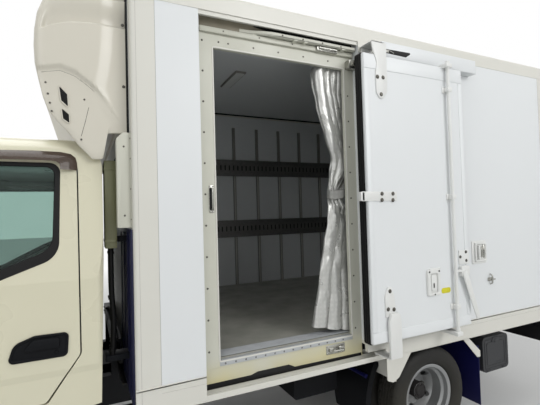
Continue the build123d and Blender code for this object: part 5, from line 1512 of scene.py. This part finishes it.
hingeLine = bumperFace - cabLook["hinge"]
windowFront = cabLook["hinge"] + 0.072 + cabLook["slope"] * (1.962 - 1.290)
windowRows = placed(ahead, cabLook["window"])
windowRows += [(hingeLine - 0.062, 1.240, 0.035), (bumperFace - windowFront, 1.962, 0.045)]
windowLoop = roundOff(windowRows, 10)
paneRows = placed(ahead, cabLook["pane"])
paneRows += [(hingeLine - 0.088, 1.272, 0.030), (bumperFace - windowFront - 0.024, 1.944, 0.040)]
paneLoop = roundOff(paneRows, 10)
handleLoop = roundOff(placed(behind, cabLook["handle"]), 6)
flap = roundOff(placed(behind, cabLook["flap"]), 5)
for side, name in ((1, "left"), (-1, "right")):
    body = name + "_cab_door"
    rubber = ring(inset(windowLoop, -0.004), paneLoop, onCab(-0.017, side), 0.0195, 0.004)
    makePiece("windowRubber_" + name, [rubber], blackRubber, body)
    loops = []
    for (topOut, topZ), (lowOut, lowZ) in zip(cabLook["visorTop"], cabLook["visorLow"]):
        topX, lowX = ahead(topOut), ahead(lowOut)
        loop = []
        for share, lift in cabLook["visorArch"]:
            x = topX + (lowX - topX) * share
            z = topZ + (lowZ - topZ) * share
            loop.append(onCab(lift - (z - 1.95) * 0.02, side)(x, z, 0))
        loops.append(loop)
    makePiece("windowVisor_" + name, [skin(loops)], smokedAcrylic, body)
    face, lifted = onCab(0.0, side), onCab(0.005, side)
    recess = [
        plate(handleLoop, face, 0.005, 0.002),
        ring(handleLoop, inset(handleLoop, 0.012), face, 0.009, 0.003),
        plate(flap, lifted, 0.016, 0.006),
        screw(lifted, behind(-0.335), 1.078, 0.008, 0.006),
    ]
    makePiece("doorHandle_" + name, recess, charcoalMoulding, body)


# ---- cab front: wipers, radiator bars, headlamps, bumper mesh and lamps, mirror glass
print("cab front")
frontLook = {
    "face": ((0.48, 0.060), (0.95, 0.038), (1.29, 0.100), (2.13, 0.4255)),     # height, set back
    "wipers": (((-0.52, 1.31), (0.05, 1.40)), ((0.12, 1.31), (0.66, 1.40))),
    "bars": 4, "firstBar": 1.03, "barPitch": 0.045, "barHalf": 0.72,
    "barForm": ((0.0, -0.010), (0.006, -0.006), (0.006, 0.006), (0.0, 0.010)),
    "corner": 0.17, "straight": 0.8275,         # radius seen from above, and where it begins
    "lampBack": -0.032, "reflectors": (0.640, 0.905), "indicators": (0.910, 0.965),
    "lampForm": ((0.748, 0.0), (0.748, 0.004), (0.800, 0.004), (0.860, 0.004), (0.920, 0.004),
                 (0.920, 0.0)),
    "bowls": ((0.716, 0.838, 0.066), (0.838, 0.838, 0.050)),        # across, height, radius
    "bowlForm": ((1.0, 0.005), (1.0, 0.020), (0.93, 0.020), (0.80, 0.010), (0.50, 0.0055),
                 (0.30, 0.005)),
    "bulbForm": ((0.22, 0.004), (0.22, 0.014), (0.16, 0.018), (0.05, 0.0195)),
    "slot": (0.418, 0.402, 0.498),                                  # half width, bottom, top
    "fogLamps": (0.562, 0.738, 0.412, 0.488),
    "mirrors": ((0.200, 1.120, 1.300, 1.290, 1.660), (0.190, 1.130, 1.290, 1.090, 1.260)),
}


def cabFace(z):
    return bumperFace - along(frontLook["face"], z)


def onFace(lift):
    return lambda a, b, depth: Vector((cabFace(b) + lift + depth, a, b))


def lampFace(lift):
    radius = frontLook["corner"]

    def place(a, b, depth):
        over = min(radius - 0.001, max(0.0, abs(a) - frontLook["straight"]))
        drop = radius - math.sqrt(radius ** 2 - over ** 2)
        return Vector((cabFace(b) - drop + lift + depth, a, b))
    return place


wipers, blades = [], []
for start, end in frontLook["wipers"]:
    pivot, foot, tip = onFace(0.02)(*start, 0), onFace(0.012)(*start, 0), onFace(0.010)(*end, 0)
    elbow = foot.lerp(tip, 0.5) + Vector((0.012, 0, 0.004))
    wipers.append(tube([onFace(-0.004)(*start, 0), pivot], 0.014, 16))
    wipers.append(tube([pivot, elbow, tip], [0.008, 0.006, 0.005], 8))
    way = (tip - foot).normalized()
    blades.append(tube([tip - way * 0.28, tip + way * 0.22], 0.005, 6))
makePiece("wiperArms", wipers + blades, charcoalMoulding, "cab")

gridBars = []
for k in range(frontLook["bars"]):
    z = frontLook["firstBar"] + frontLook["barPitch"] * k
    gridBars.append(skin([[onFace(lift)(-frontLook["barHalf"] + 0.06 * i, z + dz, 0)
                           for lift, dz in frontLook["barForm"]] for i in range(25)]))
makePiece("frontPanelBars", gridBars, charcoalMoulding, "cab")

bowls, bulbs, indicators = [], [], []
back = lampFace(frontLook["lampBack"])
for side in (1, -1):
    for (low, high), kind in ((frontLook["reflectors"], bowls),
                              (frontLook["indicators"], indicators)):
        columns = [side * (low + (high - low) * k / 12) for k in range(13)]
        kind.append(skin([[back(y, z, depth) for z, depth in frontLook["lampForm"]]
                          for y in columns]))
    for y, z, radius in frontLook["bowls"]:
        for kind, form, sides in ((bowls, "bowlForm", 40), (bulbs, "bulbForm", 20)):
            kind.append(skin([[back(p.x, p.y, depth) for p in circle(side * y, z, radius * share,
                    sides)] for share, depth in frontLook[form]]))
makePiece("headlampBowls", bowls, lampReflector, "cab")
makePiece("headlampBulbs", bulbs, opalAcrylic, "cab")
makePiece("frontIndicators", indicators, amberLens, "cab")

half, low, high = frontLook["slot"]
slotBack, slotFront = bumperFace - 0.041, bumperFace - 0.012
meshBars = [
    box((bumperFace - 0.044, -half - 0.02, low - 0.012),
        (bumperFace - 0.040, half + 0.02, high + 0.012), 0.001),
]
for k in range(4):
    z = low + (high - low) * (k + 0.5) / 4
    meshBars.append(box((slotBack, -half, z - 0.004), (slotFront, half, z + 0.004), 0.002))
for k in range(9):
    y = -half + 2 * half * (k + 0.5) / 9
    meshBars.append(box((slotBack, y - 0.003, low), (slotFront - 0.004, y + 0.003, high), 0.001))
lampPods, fogLenses = [], []
inner, outer, low, high = frontLook["fogLamps"]
podFace = onFront(bumperFace - 0.037)
for side in (1, -1):
    a, b = sorted((side * inner, side * outer))
    lampPods.append(box((bumperFace - 0.044, a - 0.008, low - 0.008),
                        (bumperFace - 0.036, b + 0.008, high + 0.008), 0.001))
    rim, lens = (circle((a + b) / 2, (low + high) / 2, radius, 36) for radius in (0.036, 0.031))
    lampPods.append(ring(rim, lens, podFace, 0.016, 0.002))
    fogLenses.append(plate(lens, podFace, 0.010, 0.004))
makePiece("bumperMesh", meshBars + lampPods, charcoalMoulding)
makePiece("bumperLamps", fogLenses, clearLens)

panes = []
for side in (1, -1):
    for setBack, inner, outer, low, high in frontLook["mirrors"]:
        a, b = sorted((side * (inner + 0.012), side * (outer - 0.012)))
        rim = rounded(a, low + 0.012, b, high - 0.012, 0.030, 6)
        panes.append(plate(rim, onFront(bumperFace - setBack, -1), 0.002, 0.0008))
makePiece("mirrorGlass", panes, silveredGlass, "cab")


# ---- seats: cushions and backs swelled by simulation over their sewn channels, moulded bases
print("seats")
# Cushion and back: from and to ahead of the cab's back, bottom and top
seatLook = {
    "rows": (("driver", -0.560, 0.250, 2), ("bench", 0.320, 0.450, 4)),     # middle, half, channels
    "cushion": (0.186, 0.650, 1.124, 1.256), "back": (0.080, 0.176, 1.262, 1.728),
    "edge": 0.10, "seam": 0.009,                # where the side seams run, and their half width
    "bases": ((-0.780, -0.400), (0.400, 0.760)), "pans": ((-0.778, -0.330), (-0.116, 0.756)),
    "baseFloor": 0.920, "baseTop": 1.120,
    "voxel": 0.014, "pressure": 4.0, "frames": 20, "fill": 0.7,
    "swell": 0.011,                             # the most that a point moves
}


def applyModifiers(piece):
    shaped = piece.evaluated_get(bpy.context.evaluated_depsgraph_get())
    mesh = bpy.data.meshes.new_from_object(shaped)
    piece.modifiers.clear()
    piece.data = mesh
    return mesh


# Swells a closed form like a stuffed pad: points that the test holds stay on their seam
def stuff(piece, look, held):
    remesh = piece.modifiers.new("evenMesh", "REMESH")
    remesh.mode = "VOXEL"
    remesh.voxel_size = look["voxel"]
    start = [v.co.copy() for v in applyModifiers(piece).vertices]
    pins = piece.vertex_groups.new(name="seams")
    pins.add([i for i, p in enumerate(start) if held(p)], 1.0, "REPLACE")
    cloth = piece.modifiers.new("stuffing", "CLOTH")
    cloth.settings.use_pressure = True
    cloth.settings.uniform_pressure_force = look["pressure"]
    cloth.settings.effector_weights.gravity = 0
    cloth.settings.vertex_group_mass = "seams"
    scene = bpy.context.scene
    for step in range(1, look["frames"] + 1):
        scene.frame_set(step)
    swelled = applyModifiers(piece)
    scene.frame_set(1)
    for vertex, before in zip(swelled.vertices, start):
        move = vertex.co - before
        if move.length > look["swell"]:
            vertex.co = before + move * (look["swell"] / move.length)
    smooth = piece.modifiers.new("smooth", "SUBSURF")
    smooth.levels = smooth.render_levels = 1
    applyModifiers(piece).shade_smooth()


for label, middle, half, channels in seatLook["rows"]:
    for part in ("cushion", "back"):
        near, far, low, high = seatLook[part]
        shape = box((ahead(near), middle - half + 0.008, low),
                    (ahead(far), middle + half - 0.008, high), 0.030)
        pad = makePiece(label + part.capitalize(), [shape], seatCloth, "cab")
        lines = [middle - half + 2 * half * k / channels for k in range(1, channels)]
        lines += [middle - half + seatLook["edge"], middle + half - seatLook["edge"]]

        def held(p, lines=lines, part=part, low=low, near=near):
            flat = p.z < low + 0.012 if part == "cushion" else p.x < ahead(near) + 0.012
            return flat or any(abs(p.y - line) < seatLook["seam"] for line in lines)

        stuff(pad, seatLook, held)
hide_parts("seats")
seatTop = seatLook["baseTop"]
bases = [box((ahead(0.184), low, seatLook["baseFloor"]), (ahead(0.596), high, seatTop), 0.012)
         for low, high in seatLook["bases"]]
bases += [box((ahead(0.182), low, seatTop - 0.004), (ahead(0.640), high, seatTop + 0.010), 0.003)
          for low, high in seatLook["pans"]]
makePiece("seatBases", bases, charcoalMoulding, "cab")


# ---- below the box: storage box's embossed lid, guard edges, lamp housings
print("below the box")
boxLow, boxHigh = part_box("tool_box")
lidY, lidTop = boxHigh.y, boxHigh.z
lidFace = onSide(lidY)
embossed = []
for shrink, width in ((0.022, 0.006), (0.046, 0.004)):
    outer = rounded(boxLow.x + shrink, boxLow.z + shrink, boxHigh.x - shrink, lidTop - shrink, 0.02,
                    4)
    embossed.append(ring(outer, inset(outer, width), lidFace, 0.0035, 0.0015))
middle = (boxLow.x + boxHigh.x) / 2
catch = roundOff([(middle - 0.05, lidTop - 0.046, 0.006), (middle + 0.05, lidTop - 0.046, 0.006),
                  (middle + 0.035, lidTop - 0.012, 0.006), (middle - 0.035, lidTop - 0.012, 0.006)],
                 3)
embossed += [
    plate(catch, lidFace, 0.006, 0.002),
    box((middle - 0.018, lidY, lidTop - 0.052), (middle + 0.018, lidY + 0.009, lidTop - 0.030),
        0.003),
    box((boxLow.x + 0.08, lidY, boxLow.z + 0.062), (boxLow.x + 0.15, lidY + 0.002,
                                                    boxLow.z + 0.068), 0.001),
]
for x in (boxLow.x + 0.06, boxHigh.x - 0.06):
    embossed.append(tube([(x - 0.02, lidY + 0.003, boxLow.z + 0.012),
                          (x + 0.02, lidY + 0.003, boxLow.z + 0.012)], 0.006, 10))
makePiece("storageLid", embossed, greyMoulding)

# Rolled edge over the rear wheels, swept in degrees up from straight ahead
guardLook = {"radius": 0.505, "lip": 0.030, "inner": 0.560, "outer": 0.925, "sweep": (-14, 36)}
near, far, lip = guardLook["radius"] - 0.003, guardLook["radius"] + 0.009, guardLook["lip"]
inner, outer = guardLook["inner"], guardLook["outer"]
first, last = guardLook["sweep"]
spots = [(near, inner), (near, outer - 0.004), (near - lip, outer - 0.004),
         (near - lip, outer + 0.004), (far, outer + 0.004), (far, inner)]
turns = [math.radians(first + (last - first) * k / 20) for k in range(21)]
guards = [skin([[Vector((rearAxle + r * math.cos(turn), side * y, axleHeight + r * math.sin(turn)))
                 for r, y in spots] for turn in turns]) for side in (1, -1)]
makePiece("wheelGuards", guards, charcoalMoulding, slot="mudguard_rubber")

tailLook = {
    "length": 0.30, "rim": 0.012, "edge": 0.008, "pitch": 0.097, "lens": 0.090, "marker": 0.017,
}
lampLow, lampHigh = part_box("tail_lamps")
housings, reds, ambers, clears = [], [], [], []
lensFace = lampLow.x + tailLook["rim"]
backward = onFront(lensFace, -1)
for side in (1, -1):
    outer, inner = side * lampHigh.y, side * (lampHigh.y - tailLook["length"])
    housings.append(box((lensFace, min(outer, inner), lampLow.z),
                        (lampHigh.x, max(outer, inner), lampHigh.z), 0.010))
    for share, kind in ((0, reds), (1, ambers), (2, clears)):
        a = outer - side * (tailLook["edge"] + share * tailLook["pitch"])
        b = a - side * tailLook["lens"]
        rim = rounded(min(a, b), lampLow.z + 0.010, max(a, b), lampHigh.z - 0.010, 0.008, 4)
        kind.append(plate(rim, backward, 0.010, 0.004))
        housings.append(ring(inset(rim, -0.004), rim, backward, 0.006, 0.002))
    middle = (lampLow.x + lampHigh.x) / 2 + 0.004
    marker = circle(middle, (lampLow.z + lampHigh.z) / 2, tailLook["marker"], 24)
    ambers.append(plate(marker, onSide(lampHigh.y, side), 0.004, 0.002))
lamps = makePiece("tailLampHousings", housings, charcoalMoulding, slot="lamp_red")
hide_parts("tail_lamps")
makePiece("tailLampRed", reds, redLens)
makePiece("tailLampAmber", ambers, amberLens)
makePiece("tailLampClear", clears, clearLens)


# ---- rear: gaskets round the doors and bolts on their hinge straps
print("rear end")
rearLook = {
    "middle": 0.003, "edge": halfWidth - 0.066, "bottom": 0.866, "top": 2.746, "gasket": 0.022,
    "hinges": (1.02, 1.80, 2.58), "boltsIn": (0.17, 0.11, 0.05),
}
for side, name in ((1, "left"), (-1, "right")):
    outline = rounded(side * rearLook["middle"], rearLook["bottom"], side * rearLook["edge"],
                      rearLook["top"], 0.012, 3)
    gasket = ring(outline, inset(outline, rearLook["gasket"]), onFront(boxRear, -1), 0.004, 0.0015)
    makePiece("rearDoorGasket_" + name, [gasket], blackRubber, name + "_rear_door")
    heads = []
    for z in rearLook["hinges"]:
        for inward in rearLook["boltsIn"]:
            y = side * (rearLook["edge"] - inward)
            heads += bolt(onFront(boxRear - 0.017, -1), y, z, 0.008)
    makePiece("rearHingeBolts_" + name, heads, zincPlate, name + "_rear_door")


# ---- evaporator: two fan rings with wire guards on its rear face
print("evaporator")
fanLook = {"middles": (-0.30, 0.30), "radius": 0.088, "wires": (0.07, 0.05, 0.03), "wire": 0.0016}
coolerLow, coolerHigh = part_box("evaporator")
fanFace = onFront(coolerLow.x, -1)
fanRings, fanDark = [], []
fanHeight = (coolerLow.z + coolerHigh.z) / 2
for y in fanLook["middles"]:
    rim = circle(y, fanHeight, fanLook["radius"], 48)
    fanDark.append(plate(circle(y, fanHeight, fanLook["radius"] - 0.004, 48), fanFace, 0.0015,
                         0.0005))
    fanRings.append(ring(rim, inset(rim, 0.006), fanFace, 0.012, 0.003))
    for radius in fanLook["wires"]:
        wire = circle(y, fanHeight, radius, 40)
        fanRings.append(tube([fanFace(p.x, p.y, 0.011) for p in wire + wire[:1]], fanLook["wire"],
                             6))
    for k in range(3):
        turn = math.pi * k / 3
        reach = Vector((math.cos(turn), math.sin(turn))) * (fanLook["radius"] - 0.003)
        fanRings.append(tube([fanFace(y - reach.x, fanHeight - reach.y, 0.009),
                              fanFace(y + reach.x, fanHeight + reach.y, 0.009)], fanLook["wire"],
                             6))
makePiece("fanRings", fanRings, zincPlate)
makePiece("fanMouths", fanDark, charcoalMoulding)


# ---- studio
print("studio")
studio = {
    "air": "#F6F6F6", "airStrength": 0.54,
    "floor": "#DCDDDC",
    "floorFade": (5.5, 11.0),       # distances from the truck over which the floor pales
    "keyPower": 285, "fillPower": 90, "topPower": 160,
}


def makeStudio(look):
    world = bpy.data.worlds.new("studioAir")
    bpy.context.scene.world = world
    world.use_nodes = True
    tree = world.node_tree
    tree.nodes.clear()
    lighting = addNode(tree, "ShaderNodeBackground",
                       {"Color": linear(look["air"]), "Strength": look["airStrength"]})
    seen = addNode(tree, "ShaderNodeBackground", {"Color": (1, 1, 1, 1), "Strength": 1.0})
    path = addNode(tree, "ShaderNodeLightPath")
    direct = addNode(tree, "ShaderNodeMath", {"operation": "MAXIMUM"},
                     {0: path.outputs["Is Camera Ray"], 1: path.outputs["Is Glossy Ray"]})
    every = addNode(tree, "ShaderNodeMath", {"operation": "MAXIMUM"},
                    {0: direct.outputs[0], 1: path.outputs["Is Transmission Ray"]})
    mix = addNode(tree, "ShaderNodeMixShader", None,
                  {0: every.outputs[0], 1: lighting.outputs[0], 2: seen.outputs[0]})
    addNode(tree, "ShaderNodeOutputWorld", None, {"Surface": mix.outputs[0]})

    floor = bpy.data.meshes.new("studioFloor")
    floor.from_pydata([(-40, -40, 0), (40, -40, 0), (40, 40, 0), (-40, 40, 0)], [], [(0, 1, 2, 3)])
    floorPiece = bpy.data.objects.new("studioFloor", floor)
    bpy.context.scene.collection.objects.link(floorPiece)
    material, tree, shader, place = startMaterial("paleStudioFloor", {"Roughness": 0.75})
    cloudy = addNode(tree, "ShaderNodeTexNoise", {"Scale": 0.8, "Detail": 3.0}, {"Vector": place})
    tree.links.new(mixColours(tree, cloudy.outputs[0], look["floor"], "#E3E4E3"),
                   shader.inputs["Base Color"])
    away = addNode(tree, "ShaderNodeVectorMath", {"operation": "LENGTH"},
                   {0: place}).outputs["Value"]
    fade = rangeOf(tree, away, *look["floorFade"], 0.0, 1.0)
    path = addNode(tree, "ShaderNodeLightPath")
    seen = addNode(tree, "ShaderNodeMath", {"operation": "MULTIPLY"},
                   {0: fade, 1: path.outputs["Is Camera Ray"]})
    white = addNode(tree, "ShaderNodeEmission", {"Color": (1, 1, 1, 1), "Strength": 1.0})
    mix = addNode(tree, "ShaderNodeMixShader", None,
                  {0: seen.outputs[0], 1: shader.outputs[0], 2: white.outputs[0]})
    output = next(node for node in tree.nodes if node.type == "OUTPUT_MATERIAL")
    tree.links.new(mix.outputs[0], output.inputs["Surface"])
    floor.materials.append(material)

    for name, power, size, spot, aim in (
            ("keyLamp", look["keyPower"], 4.0, (-3.5, 8.0, 5.5), (-0.3, 0.5, 1.4)),
            ("fillLamp", look["fillPower"], 5.0, (6.0, 6.5, 4.5), (1.0, 0.5, 1.4)),
            ("farLamp", look["fillPower"], 6.0, (0.0, -8.0, 6.0), (0, 0, 1.2)),
            ("topLamp", look["topPower"], 4.0, (1.6, 1.2, 7.5), (1.2, 0.4, 2.0))):
        data = bpy.data.lights.new(name, "AREA")
        data.energy = power
        data.size = size
        lamp = bpy.data.objects.new(name, data)
        bpy.context.scene.collection.objects.link(lamp)
        lamp.location = spot
        lamp.rotation_euler = (Vector(aim) - Vector(spot)).to_track_quat("-Z", "Y").to_euler()


makeStudio(studio)
bpy.context.scene.view_settings.view_transform = "Standard"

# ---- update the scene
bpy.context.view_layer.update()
print("done")
